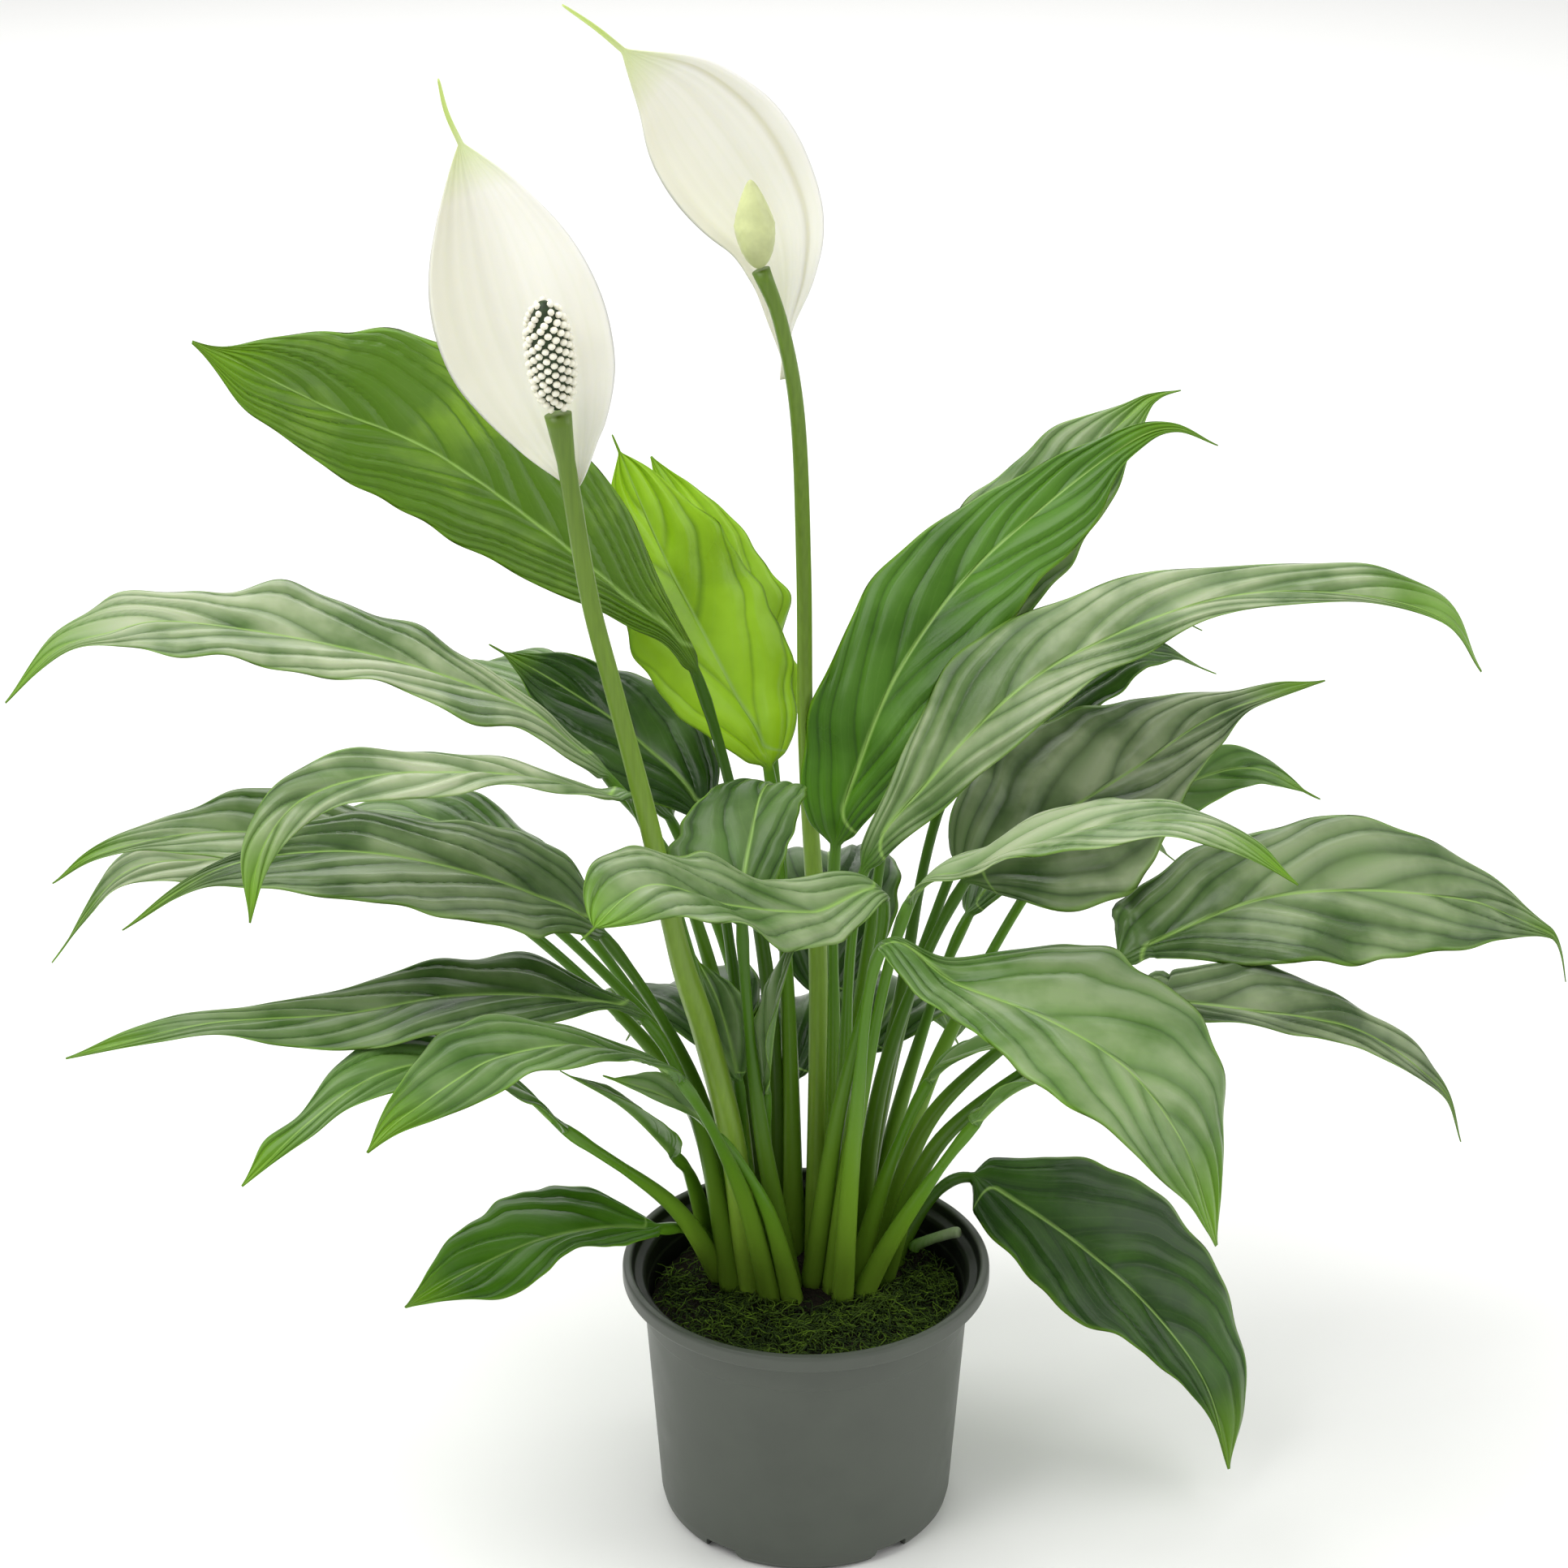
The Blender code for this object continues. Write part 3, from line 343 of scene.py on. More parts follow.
         edges=((0, 6, 9), (0.1, 16, 19), (0.2, 26, 22), (0.3, 34, 27), (0.4, 38, 28), (0.5, 38, 23),
                (0.6, 34, 18), (0.7, 30, 14), (0.8, 23, 9), (0.9, 14, 3), (1, 0, 0))),
    # The leaves at the back.
    Leaf("back_left", (-9, 37), [(-20, 56, 150)],
         [(-44, 78, 210), (-72, 100, 240), (-102, 122, 250), (-135, 138, 232)],
         48, 15, 10),
    Leaf("back_middle", (3, 38), [(4, 50, 120)],
         [(6, 62, 152), (8, 84, 178), (8, 112, 184), (6, 145, 160)],
         48, tone=0.2, painted_sheen=0.1),
    Leaf("back_right", (22, 33), [(34, 62, 120)],
         [(55, 92, 168), (80, 112, 188), (108, 130, 188), (132, 142, 166)],
         44, -10, -10),
    Leaf("low_left", (-16, 37), [(-22, 52, 105)],
         [(-28, 68, 128), (-38, 92, 140), (-52, 116, 128), (-64, 136, 98)],
         50, tone=0.2, painted_sheen=0.1),
    Leaf("low_middle", (-3, 39), [(-4, 52, 95)],
         [(-4, 66, 118), (-5, 90, 134), (-8, 114, 124), (-13, 139, 91)],
         34, tone=0.2, painted_sheen=0.1),
    Leaf("low_right", (9, 39), [(14, 57, 100)],
         [(20, 75, 124), (33, 98, 136), (45, 120, 124), (56, 140, 94)],
         48, tone=0.2, painted_sheen=0.1),
    Leaf("left_back", (-25, 31), [(-38, 42, 130)],
         [(-75, 60, 182), (-106, 76, 204), (-146, 94, 208), (-188, 108, 184)],
         46, 5, 5),
)


# ---------------------------------------------------------------- settings


def colour_setting(name, description, code):
    return FloatVectorProperty(
        name=name, description=description, subtype="COLOR", size=3, min=0.0, max=1.0,
        default=linear(code)[:3],
    )


def length_setting(name, description, millimetres):
    return FloatProperty(name=name, description=description, unit="LENGTH", default=millimetres * MM)


class LilyPotSettings(bpy.types.PropertyGroup):
    plastic: colour_setting("Plastic", "Colour of the pot's outside", "#484d45")
    lip_plastic: colour_setting("Inside", "Colour of the pot's inside wall", "#1c1e1c")
    steps: IntProperty(name="Steps", description="Sides of the turned pot", default=180, min=24)
    fillet: length_setting("Fillet", "Radius of the moulded edges", 0.45)


class LilyBedSettings(bpy.types.PropertyGroup):
    soil: colour_setting("Soil", "Colour of damp potting soil", "#17110b")
    moss_light: colour_setting("Moss tips", "Colour of the lit moss strands", "#83a82a")
    # The shade colour below also stands for painted shade on the strands that lie low on the heap.
    moss_dark: colour_setting("Moss shade", "Colour of the oldest moss strands", "#23360f")
    strands: IntProperty(name="Strands", description="Number of moss strands", default=4096, min=16)
    strand_length: length_setting("Strand length", "Length of a moss strand", 7.0)


class LilyLeafSettings(bpy.types.PropertyGroup):
    # The dark green below also carries painted shade in the furrows and on leaves and stalks of low tone; the
    # young shade does the same for the new leaves' blades.
    dark: colour_setting("Dark green", "Colour of an old leaf", "#1c3e04")
    light: colour_setting("Mid green", "Colour of a leaf in its prime", "#477a06")
    young: colour_setting("Young green", "Colour of the new leaves where they are lightest", "#98c60c")
    young_shade: colour_setting("Young shade", "Colour of the new leaves where they are darkest", "#486d08")
    # The silvery colour below is painted sheen, laid on the crests of the pleats.
    painted_sheen: colour_setting("Bloom", "Colour of the silvery bloom on an old leaf", "#a6b08e")
    edge: colour_setting("Edge", "Colour of a leaf's margin and tip", "#79a81c")
    vein: colour_setting("Veins", "Colour of the midrib and the side veins", "#8fb45a")
    back: colour_setting("Underside", "Colour of a leaf's underside", "#57802f")
    stalk: colour_setting("Stalk", "Colour of a leaf stalk", "#568419")
    sheath: colour_setting("Sheath", "Colour of the sheath at a stalk's foot", "#88ac36")
    pleat: length_setting("Pleat", "Height of the swelling between side veins", 1.3)
    blade_thickness: length_setting("Thickness", "Thickness of a blade", 0.55)


class LilyFlowerSettings(bpy.types.PropertyGroup):
    spathe: colour_setting("Spathe", "Colour of the spathe", "#eae9e0")
    # The crease colour below is painted shade, laid in the spathe's creases and on its left side.
    spathe_crease_shade: colour_setting("Spathe hollows", "Colour in the spathe's creases", "#cbc9b2")
    spathe_shade: colour_setting("Spathe base", "Colour of the spathe near its base and tail", "#b9cf7c")
    floret: colour_setting("Florets", "Colour of the ripe florets", "#f7f4e2")
    # The gap colour below is the core's green darkened with painted shade of the pits between the florets.
    gap: colour_setting("Gaps", "Colour between the florets", "#1b2b10")
    bud: colour_setting("Bud", "Colour of the unripe spadix", "#cdd49a")
    stalk: colour_setting("Flower stalk", "Colour of a flower stalk", "#5b7720")
    floret_rows: IntProperty(name="Rows", description="Rows of florets", default=23, min=4)
    floret_ring: IntProperty(name="Ring", description="Florets in each full row", default=10, min=5)


class LilyStageSettings(bpy.types.PropertyGroup):
    floor: colour_setting("Floor", "Colour of the floor", "#f5f5f3")
    lens: FloatProperty(
        name="Lens", description="Focal length of the camera in millimetres", default=85.0, min=20
    )
    sky: FloatProperty(
        name="Sky", description="Strength of the even light all round", default=0.62, min=0
    )
    key: FloatProperty(
        name="Key", description="Power of the large soft lamp", unit="POWER", default=36.0, min=0
    )
    fill: FloatProperty(
        name="Fill", description="Power of the lamp on the right", unit="POWER", default=12.0, min=0
    )


SETTINGS = {
    "lily_pot": LilyPotSettings,
    "lily_bed": LilyBedSettings,
    "lily_leaf": LilyLeafSettings,
    "lily_flower": LilyFlowerSettings,
    "lily_stage": LilyStageSettings,
}


# ---------------------------------------------------------------- materials


def node(tree, kind, inputs=None, **settings):
    """Adds a node with its settings. Each input is a value, or the socket that feeds it."""
    made = tree.nodes.new(kind)
    for name, value in settings.items():
        setattr(made, name, value)
    for name, value in (inputs or {}).items():
        if isinstance(value, bpy.types.NodeSocket):
            tree.links.new(value, made.inputs[name])
        else:
            made.inputs[name].default_value = value
    return made


def new_material(name):
    """An empty material, its node tree and its output."""
    material = bpy.data.materials.new(name)
    material.use_nodes = True
    tree = material.node_tree
    tree.nodes.clear()
    return material, tree, node(tree, "ShaderNodeOutputMaterial")


def rgba(colour):
    return (*colour, 1.0)


def leaf_material(name, looks, dark, light):
    """Living leaf: a waxy cuticle over soft green tissue, so it has a low sheen and lets light in."""
    material, tree, output = new_material(name)
    place = node(tree, "ShaderNodeTexCoord").outputs["Object"]
    along, across, offset, veins, under, tone, painted_sheen = (
        node(tree, "ShaderNodeAttribute", attribute_name=read).outputs["Fac"]
        for read in ("along", "across", "offset", "veins", "under", "tone", "painted_sheen")
    )

    # Blotches about 30 mm across, then grain about 2 mm across.
    blotch = node(tree, "ShaderNodeTexNoise", {"Vector": place, "Scale": 32.0, "Detail": 4.0}).outputs["Fac"]
    grain = node(tree, "ShaderNodeTexNoise", {"Vector": place, "Scale": 600.0, "Detail": 2.0}).outputs["Fac"]
    # Tone sets how dark the leaf is: partly its age, partly painted shade on a leaf that sits in shade; the
    # blotches vary it at random.
    shade = node(tree, "ShaderNodeMath", {0: blotch, 1: 0.5}, operation="SUBTRACT").outputs[0]
    shade = node(tree, "ShaderNodeMath", {0: shade, 1: 1.5, 2: tone}, operation="MULTIPLY_ADD").outputs[0]

    # The blade swells between its side veins, with three finer veins in each swelling.
    turns = node(tree, "ShaderNodeMath", {0: veins, 1: math.pi}, operation="MULTIPLY").outputs[0]
    swell = node(tree, "ShaderNodeMath", {0: turns}, operation="SINE").outputs[0]
    swell = node(tree, "ShaderNodeMath", {0: swell}, operation="ABSOLUTE").outputs[0]
    fine = node(tree, "ShaderNodeMath", {0: turns, 1: 4.0}, operation="MULTIPLY").outputs[0]
    fine = node(tree, "ShaderNodeMath", {0: fine}, operation="SINE").outputs[0]
    fine = node(tree, "ShaderNodeMath", {0: fine}, operation="ABSOLUTE").outputs[0]
    on_blade = node(tree, "ShaderNodeMapRange", {0: along, 1: 0.0, 2: 0.05, 3: 0.0, 4: 1.0}).outputs[0]

    # The furrows carry painted shade. The crests carry a painted grey sheen that is thin near the base,
    # gone at the tip and broken into patches.
    furrow_shade = node(tree, "ShaderNodeMapRange", {0: swell, 1: 0.0, 2: 0.35, 3: -0.3, 4: 0.05}).outputs[0]
    shade = node(tree, "ShaderNodeMath", {0: shade, 1: furrow_shade}, operation="ADD").outputs[0]
    shade = node(tree, "ShaderNodeClamp", {"Value": shade}).outputs[0]
    green = node(tree, "ShaderNodeMix", {0: shade, 6: rgba(dark), 7: rgba(light)}, data_type="RGBA").outputs[2]
    crest = node(tree, "ShaderNodeMapRange", {0: swell, 1: 0.05, 2: 0.95, 3: 0.34, 4: 0.95}).outputs[0]
    sheen_patches = node(tree, "ShaderNodeMapRange", {0: blotch, 1: 0.38, 2: 0.58, 3: 0.3, 4: 1.1}).outputs[0]
    sheen_amount = node(tree, "ShaderNodeMath", {0: crest, 1: sheen_patches}, operation="MULTIPLY").outputs[0]
    sheen_amount = node(tree, "ShaderNodeMath", {0: sheen_amount, 1: painted_sheen}, operation="MULTIPLY").outputs[0]
    root = node(tree, "ShaderNodeMapRange", {0: along, 1: 0.0, 2: 0.25, 3: 0.35, 4: 1.15}).outputs[0]
    end = node(tree, "ShaderNodeMapRange", {0: along, 1: 0.78, 2: 0.95, 3: 1.0, 4: 0.1}).outputs[0]
    sheen_span = node(tree, "ShaderNodeMath", {0: root, 1: end}, operation="MULTIPLY").outputs[0]
    sheen_amount = node(tree, "ShaderNodeMath", {0: sheen_amount, 1: sheen_span}, operation="MULTIPLY").outputs[0]
    green = node(tree, "ShaderNodeMix", {0: sheen_amount, 6: green, 7: rgba(looks.painted_sheen)}, data_type="RGBA").outputs[2]
    line = node(tree, "ShaderNodeMapRange", {0: fine, 1: 0.0, 2: 0.3, 3: 0.04, 4: 0.0}).outputs[0]
    green = node(tree, "ShaderNodeMix", {0: line, 6: green, 7: rgba(looks.vein)}, data_type="RGBA").outputs[2]

    # The underside is paler and duller.
    paler = node(tree, "ShaderNodeMath", {0: under, 1: 0.65}, operation="MULTIPLY").outputs[0]
    green = node(tree, "ShaderNodeMix", {0: paler, 6: green, 7: rgba(looks.back)}, data_type="RGBA").outputs[2]

    # The midrib narrows from 2.6 mm to half a millimetre at the tip.
    distance = node(tree, "ShaderNodeMath", {0: offset}, operation="ABSOLUTE").outputs[0]
    half = node(tree, "ShaderNodeMapRange", {0: along, 1: 0.0, 2: 1.0, 3: 1.3, 4: 0.25}).outputs[0]
    rib = node(tree, "ShaderNodeMapRange", {0: distance, 1: 0.0, 2: half, 3: 0.85, 4: 0.0}).outputs[0]
    green = node(tree, "ShaderNodeMix", {0: rib, 6: green, 7: rgba(looks.vein)}, data_type="RGBA").outputs[2]

    # Margin and tip.
    rim = node(tree, "ShaderNodeMath", {0: across}, operation="ABSOLUTE").outputs[0]
    rim = node(tree, "ShaderNodeMapRange", {0: rim, 1: 0.93, 2: 1.0, 3: 0.0, 4: 0.55}).outputs[0]
    tip = node(tree, "ShaderNodeMapRange", {0: along, 1: 0.8, 2: 1.0, 3: 0.0, 4: 0.7}).outputs[0]
    worn = node(tree, "ShaderNodeMath", {0: rim, 1: tip}, operation="MAXIMUM").outputs[0]
    worn = node(tree, "ShaderNodeMath", {0: worn, 1: on_blade}, operation="MULTIPLY").outputs[0]
    green = node(tree, "ShaderNodeMix", {0: worn, 6: green, 7: rgba(looks.edge)}, data_type="RGBA").outputs[2]

    # The stalk, from its pale foot to the collar, darker on a leaf of low tone: partly its age, partly painted
    # shade on stalks that sit in shade.
    up = node(tree, "ShaderNodeMapRange", {0: along, 1: -1.0, 2: -0.3, 3: 0.95, 4: 0.0}).outputs[0]
    age_and_shade = node(tree, "ShaderNodeMapRange", {0: tone, 1: 0.0, 2: 0.8, 3: 0.7, 4: 0.0}).outputs[0]
    stem = node(tree, "ShaderNodeMix", {0: up, 6: rgba(looks.stalk), 7: rgba(looks.sheath)}, data_type="RGBA")
    stem = node(
        tree, "ShaderNodeMix", {0: age_and_shade, 6: stem.outputs[2], 7: rgba(looks.dark)}, data_type="RGBA"
    ).outputs[2]
    colour = node(tree, "ShaderNodeMix", {0: on_blade, 6: stem, 7: green}, data_type="RGBA").outputs[2]

    # The pleats swell by 0.6 mm, with the fine veins and a skin grain on top.
    relief = node(tree, "ShaderNodeMath", {0: fine, 1: 0.07, 2: swell}, operation="MULTIPLY_ADD").outputs[0]
    relief = node(tree, "ShaderNodeMath", {0: relief, 1: on_blade}, operation="MULTIPLY").outputs[0]
    relief = node(tree, "ShaderNodeMath", {0: grain, 1: 0.1, 2: relief}, operation="MULTIPLY_ADD").outputs[0]
    bump = node(tree, "ShaderNodeBump", {"Height": relief, "Strength": 0.8, "Distance": 0.0006}).outputs[0]
    rough = node(tree, "ShaderNodeMapRange", {0: blotch, 1: 0.3, 2: 0.7, 3: 0.26, 4: 0.38}).outputs[0]
    shader = node(
        tree, "ShaderNodeBsdfPrincipled",
        {"Base Color": colour, "Roughness": rough, "IOR": 1.33, "Subsurface Weight": 0.1,
         "Subsurface Radius": (0.5, 1.0, 0.2), "Subsurface Scale": 0.001, "Normal": bump},
    )
    tree.links.new(shader.outputs[0], output.inputs["Surface"])
    return material


def stalk_material(name, low, high, roughness=0.4):
    """Fleshy stalk: smooth green skin with faint lengthwise fibres 1 mm apart."""
    material, tree, output = new_material(name)
    place = node(tree, "ShaderNodeTexCoord").outputs["Object"]
    along = node(tree, "ShaderNodeAttribute", attribute_name="along").outputs["Fac"]
    stretch = node(tree, "ShaderNodeMapping", {"Vector": place, "Scale": (1000.0, 1000.0, 40.0)}).outputs[0]
    fibre = node(tree, "ShaderNodeTexNoise", {"Vector": stretch, "Scale": 1.0, "Detail": 2.0}).outputs["Fac"]
    mark = node(tree, "ShaderNodeMath", {0: fibre, 1: 0.5}, operation="SUBTRACT").outputs[0]
    mark = node(tree, "ShaderNodeMath", {0: mark, 1: 0.5, 2: along}, operation="MULTIPLY_ADD").outputs[0]
    colour = node(tree, "ShaderNodeMix", {0: mark, 6: rgba(low), 7: rgba(high)}, data_type="RGBA").outputs[2]
    bump = node(tree, "ShaderNodeBump", {"Height": fibre, "Strength": 0.4, "Distance": 0.0001}).outputs[0]
    shader = node(
        tree, "ShaderNodeBsdfPrincipled",
        {"Base Color": colour, "Roughness": roughness, "IOR": 1.45, "Subsurface Weight": 0.2,
         "Subsurface Radius": (0.6, 1.0, 0.2), "Subsurface Scale": 0.002, "Normal": bump},
    )
    tree.links.new(shader.outputs[0], output.inputs["Surface"])
    return material


def spathe_material(looks):
    """Spathe: matt, cream-white and slightly translucent, greener at its base and tail."""
    material, tree, output = new_material("spathe_petal")
    place = node(tree, "ShaderNodeTexCoord").outputs["Object"]
    along = node(tree, "ShaderNodeAttribute", attribute_name="along").outputs["Fac"]
    across = node(tree, "ShaderNodeAttribute", attribute_name="across").outputs["Fac"]
    low = node(tree, "ShaderNodeMapRange", {0: along, 1: 0.0, 2: 0.35, 3: 0.3, 4: 0.0}).outputs[0]
    tail = node(tree, "ShaderNodeMapRange", {0: along, 1: 0.72, 2: 0.9, 3: 0.0, 4: 1.0}).outputs[0]
    middle = node(tree, "ShaderNodeMath", {0: across}, operation="ABSOLUTE").outputs[0]
    middle = node(tree, "ShaderNodeMapRange", {0: middle, 1: 0.0, 2: 0.5, 3: 1.0, 4: 0.0}).outputs[0]
    low = node(tree, "ShaderNodeMath", {0: low, 1: middle}, operation="MULTIPLY").outputs[0]
    tint = node(tree, "ShaderNodeMath", {0: low, 1: tail}, operation="MAXIMUM").outputs[0]
    # Veins run lengthwise, a few millimetres apart.
    turns = node(tree, "ShaderNodeMath", {0: across, 1: 34.0}, operation="MULTIPLY").outputs[0]
    streak = node(tree, "ShaderNodeMath", {0: turns}, operation="SINE").outputs[0]
    blotch = node(tree, "ShaderNodeTexNoise", {"Vector": place, "Scale": 60.0, "Detail": 2.0}).outputs["Fac"]
    faint = node(tree, "ShaderNodeMapRange", {0: streak, 1: 0.4, 2: 1.0, 3: 0.0, 4: 0.07}).outputs[0]
    faint = node(tree, "ShaderNodeMath", {0: faint, 1: blotch}, operation="MULTIPLY").outputs[0]
    tint = node(tree, "ShaderNodeMath", {0: tint, 1: faint}, operation="ADD").outputs[0]
    # Painted shade: the hollows of the creases and the left side are a little duller.
    hollow = node(tree, "ShaderNodeAttribute", attribute_name="hollow").outputs["Fac"]
    hollow = node(tree, "ShaderNodeMapRange", {0: hollow, 1: 0.0, 2: 1.0, 3: 0.0, 4: 0.6}).outputs[0]
    left = node(tree, "ShaderNodeMapRange", {0: across, 1: -0.1, 2: 0.9, 3: 0.0, 4: 0.5}).outputs[0]
    dull = node(tree, "ShaderNodeMath", {0: hollow, 1: left}, operation="MAXIMUM").outputs[0]
    white = node(
        tree, "ShaderNodeMix", {0: dull, 6: rgba(looks.spathe), 7: rgba(looks.spathe_crease_shade)}, data_type="RGBA"
    )
    colour = node(
        tree, "ShaderNodeMix", {0: tint, 6: white.outputs[2], 7: rgba(looks.spathe_shade)}, data_type="RGBA"
    ).outputs[2]
    bump = node(tree, "ShaderNodeBump", {"Height": streak, "Strength": 0.25, "Distance": 0.0002}).outputs[0]
    shader = node(
        tree, "ShaderNodeBsdfPrincipled",
        {"Base Color": colour, "Roughness": 0.5, "IOR": 1.42, "Subsurface Weight": 0.35,
         "Subsurface Radius": (1.0, 0.9, 0.6), "Subsurface Scale": 0.002, "Normal": bump},
    )
    tree.links.new(shader.outputs[0], output.inputs["Surface"])
    return material


def plain_plant_material(name, colour, other, scale, roughness=0.5, depth=0.0001):
    """Soft plant tissue in two close colours, mottled at the given scale per metre."""
    material, tree, output = new_material(name)
    place = node(tree, "ShaderNodeTexCoord").outputs["Object"]
    mottle = node(tree, "ShaderNodeTexNoise", {"Vector": place, "Scale": scale, "Detail": 3.0}).outputs["Fac"]
    mix = node(tree, "ShaderNodeMapRange", {0: mottle, 1: 0.35, 2: 0.65}).outputs[0]
    tinted = node(
        tree, "ShaderNodeMix", {0: mix, 6: rgba(colour), 7: rgba(other)}, data_type="RGBA"
    ).outputs[2]
    bump = node(tree, "ShaderNodeBump", {"Height": mottle, "Strength": 0.5, "Distance": depth}).outputs[0]
    shader = node(
        tree, "ShaderNodeBsdfPrincipled",
        {"Base Color": tinted, "Roughness": roughness, "IOR": 1.45, "Subsurface Weight": 0.15,
         "Subsurface Radius": (1.0, 0.9, 0.5), "Subsurface Scale": 0.0015, "Normal": bump},
    )
    tree.links.new(shader.outputs[0], output.inputs["Surface"])
    return material


def soil_material(looks):
    """Damp peat: nearly black, rough, with brown crumbs 2 to 4 mm across."""
    material, tree, output = new_material("potting_peat")
    place = node(tree, "ShaderNodeTexCoord").outputs["Object"]
    crumbs = node(tree, "ShaderNodeTexVoronoi", {"Vector": place, "Scale": 380.0}).outputs["Distance"]
    grit = node(tree, "ShaderNodeTexNoise", {"Vector": place, "Scale": 900.0, "Detail": 4.0}).outputs["Fac"]
    tone = node(tree, "ShaderNodeMapRange", {0: grit, 1: 0.35, 2: 0.75, 3: 0.0, 4: 1.0}).outputs[0]
    brown = tuple(min(1.0, c * 3.2) for c in looks.soil)
    colour = node(
        tree, "ShaderNodeMix", {0: tone, 6: rgba(looks.soil), 7: rgba(brown)}, data_type="RGBA"
    ).outputs[2]
    height = node(tree, "ShaderNodeMath", {0: crumbs, 1: -1.0, 2: grit}, operation="MULTIPLY_ADD").outputs[0]
    bump = node(tree, "ShaderNodeBump", {"Height": height, "Strength": 0.9, "Distance": 0.0012}).outputs[0]
    shader = node(
        tree, "ShaderNodeBsdfPrincipled",
        {"Base Color": colour, "Roughness": 0.85, "IOR": 1.4, "Normal": bump},
    )
    tree.links.new(shader.outputs[0], output.inputs["Surface"])
    return material


def moss_material(looks):
    """Sheet moss: thin dull strands, yellow-green where they are new, brownish below, painted lighter where
    they sit higher.
    """
    material, tree, output = new_material("strand_moss")
    tone = node(tree, "ShaderNodeAttribute", attribute_name="tone").outputs["Fac"]
    colour = node(
        tree, "ShaderNodeMix", {0: tone, 6: rgba(looks.moss_dark), 7: rgba(looks.moss_light)}, data_type="RGBA"
    ).outputs[2]
    shader = node(tree, "ShaderNodeBsdfPrincipled", {"Base Color": colour, "Roughness": 0.75, "IOR": 1.4})
    tree.links.new(shader.outputs[0], output.inputs["Surface"])
    return material


def pot_material(looks):
    """Thermoformed polypropylene: thin, dull grey, with the faint orange-peel of the forming."""
    material, tree, output = new_material("grey_polypropylene")
    place = node(tree, "ShaderNodeTexCoord").outputs["Object"]
    inside = node(tree, "ShaderNodeAttribute", attribute_name="inside").outputs["Fac"]
    scuff = node(tree, "ShaderNodeTexNoise", {"Vector": place, "Scale": 55.0, "Detail": 5.0}).outputs["Fac"]
    peel = node(tree, "ShaderNodeTexNoise", {"Vector": place, "Scale": 1400.0, "Detail": 2.0}).outputs["Fac"]
    pale = tuple(min(1.0, c * 1.18) for c in looks.plastic)
    worn = node(tree, "ShaderNodeMapRange", {0: scuff, 1: 0.35, 2: 0.7}).outputs[0]
    outer = node(
        tree, "ShaderNodeMix", {0: worn, 6: rgba(looks.plastic), 7: rgba(pale)}, data_type="RGBA"
    ).outputs[2]
    colour = node(
        tree, "ShaderNodeMix", {0: inside, 6: outer, 7: rgba(looks.lip_plastic)}, data_type="RGBA"
    ).outputs[2]
    rough = node(tree, "ShaderNodeMapRange", {0: scuff, 1: 0.3, 2: 0.7, 3: 0.38, 4: 0.52}).outputs[0]
    bump = node(tree, "ShaderNodeBump", {"Height": peel, "Strength": 0.25, "Distance": 0.00006}).outputs[0]
    shader = node(
        tree, "ShaderNodeBsdfPrincipled",
        {"Base Color": colour, "Roughness": rough, "IOR": 1.49, "Normal": bump},
    )
    tree.links.new(shader.outputs[0], output.inputs["Surface"])
    return material


# ---------------------------------------------------------------- shapes


def smoothstep(low, high, value):
    t = np.clip((value - low) / (high - low), 0.0, 1.0)
    return t * t * (3.0 - 2.0 * t)


def outline(share, broadest, taper, body=0.95):
    """A blade's width at a share of its length, as a share of its full width.

    Past body, only the thin drip tip is left.
    """
    share = np.clip(share / body, 0.0, 1.0)
    rise = taper * broadest / (1.0 - broadest)
    return (share / broadest) ** rise * ((1.0 - share) / (1.0 - broadest)) ** taper


def spline(points, per_span=16):
    """A smooth run of points through the given ones, leaving the first of them straight up."""
    knots = [Vector(p) for p in points]
    before = knots[1] - Vector((0.0, 0.0, 2 * (knots[1] - knots[0]).length))
    after = knots[-1] + (knots[-1] - knots[-2])
    knots = [before, *knots, after]
    run = []
    for i in range(1, len(knots) - 2):
        a, b, c, d = knots[i - 1 : i + 3]
        for k in range(per_span):
            t = k / per_span
            bend = (2 * a - 5 * b + 4 * c - d) * t**2 + (3 * b - a - 3 * c + d) * t**3
            run.append(0.5 * (2 * b + (c - a) * t + bend))
    run.append(knots[-2])
    return np.array(run)


class Spine:
    """A smooth line that is read by the length along it."""

    def __init__(self, points, collar=0):
        self.run = spline(points)
        steps = np.linalg.norm(np.diff(self.run, axis=0), axis=1)
        self.lengths = np.concatenate([[0.0], np.cumsum(steps)])
        self.total = self.lengths[-1]
        self.collar = self.lengths[16 * collar]

    def at(self, length):
        return np.stack([np.interp(length, self.lengths, self.run[:, k]) for k in range(3)], axis=-1)

    def frames(self, length, heading, roll):
        """The point, the way ahead, the way left and the way up out of the blade, at each length."""
        ahead = self.at(length + 1.5) - self.at(length - 1.5)
        ahead /= np.linalg.norm(ahead, axis=1)[:, None]
        across = np.cross((0.0, 0.0, 1.0), heading)
        side = across - ahead * (ahead @ across)[:, None]
        side /= np.linalg.norm(side, axis=1)[:, None]
        up = np.cross(ahead, side)
        turn = np.radians(roll)[:, None]
        left = side * np.cos(turn) + up * np.sin(turn)
        normal = up * np.cos(turn) - side * np.sin(turn)
        return self.at(length), ahead, left, normal


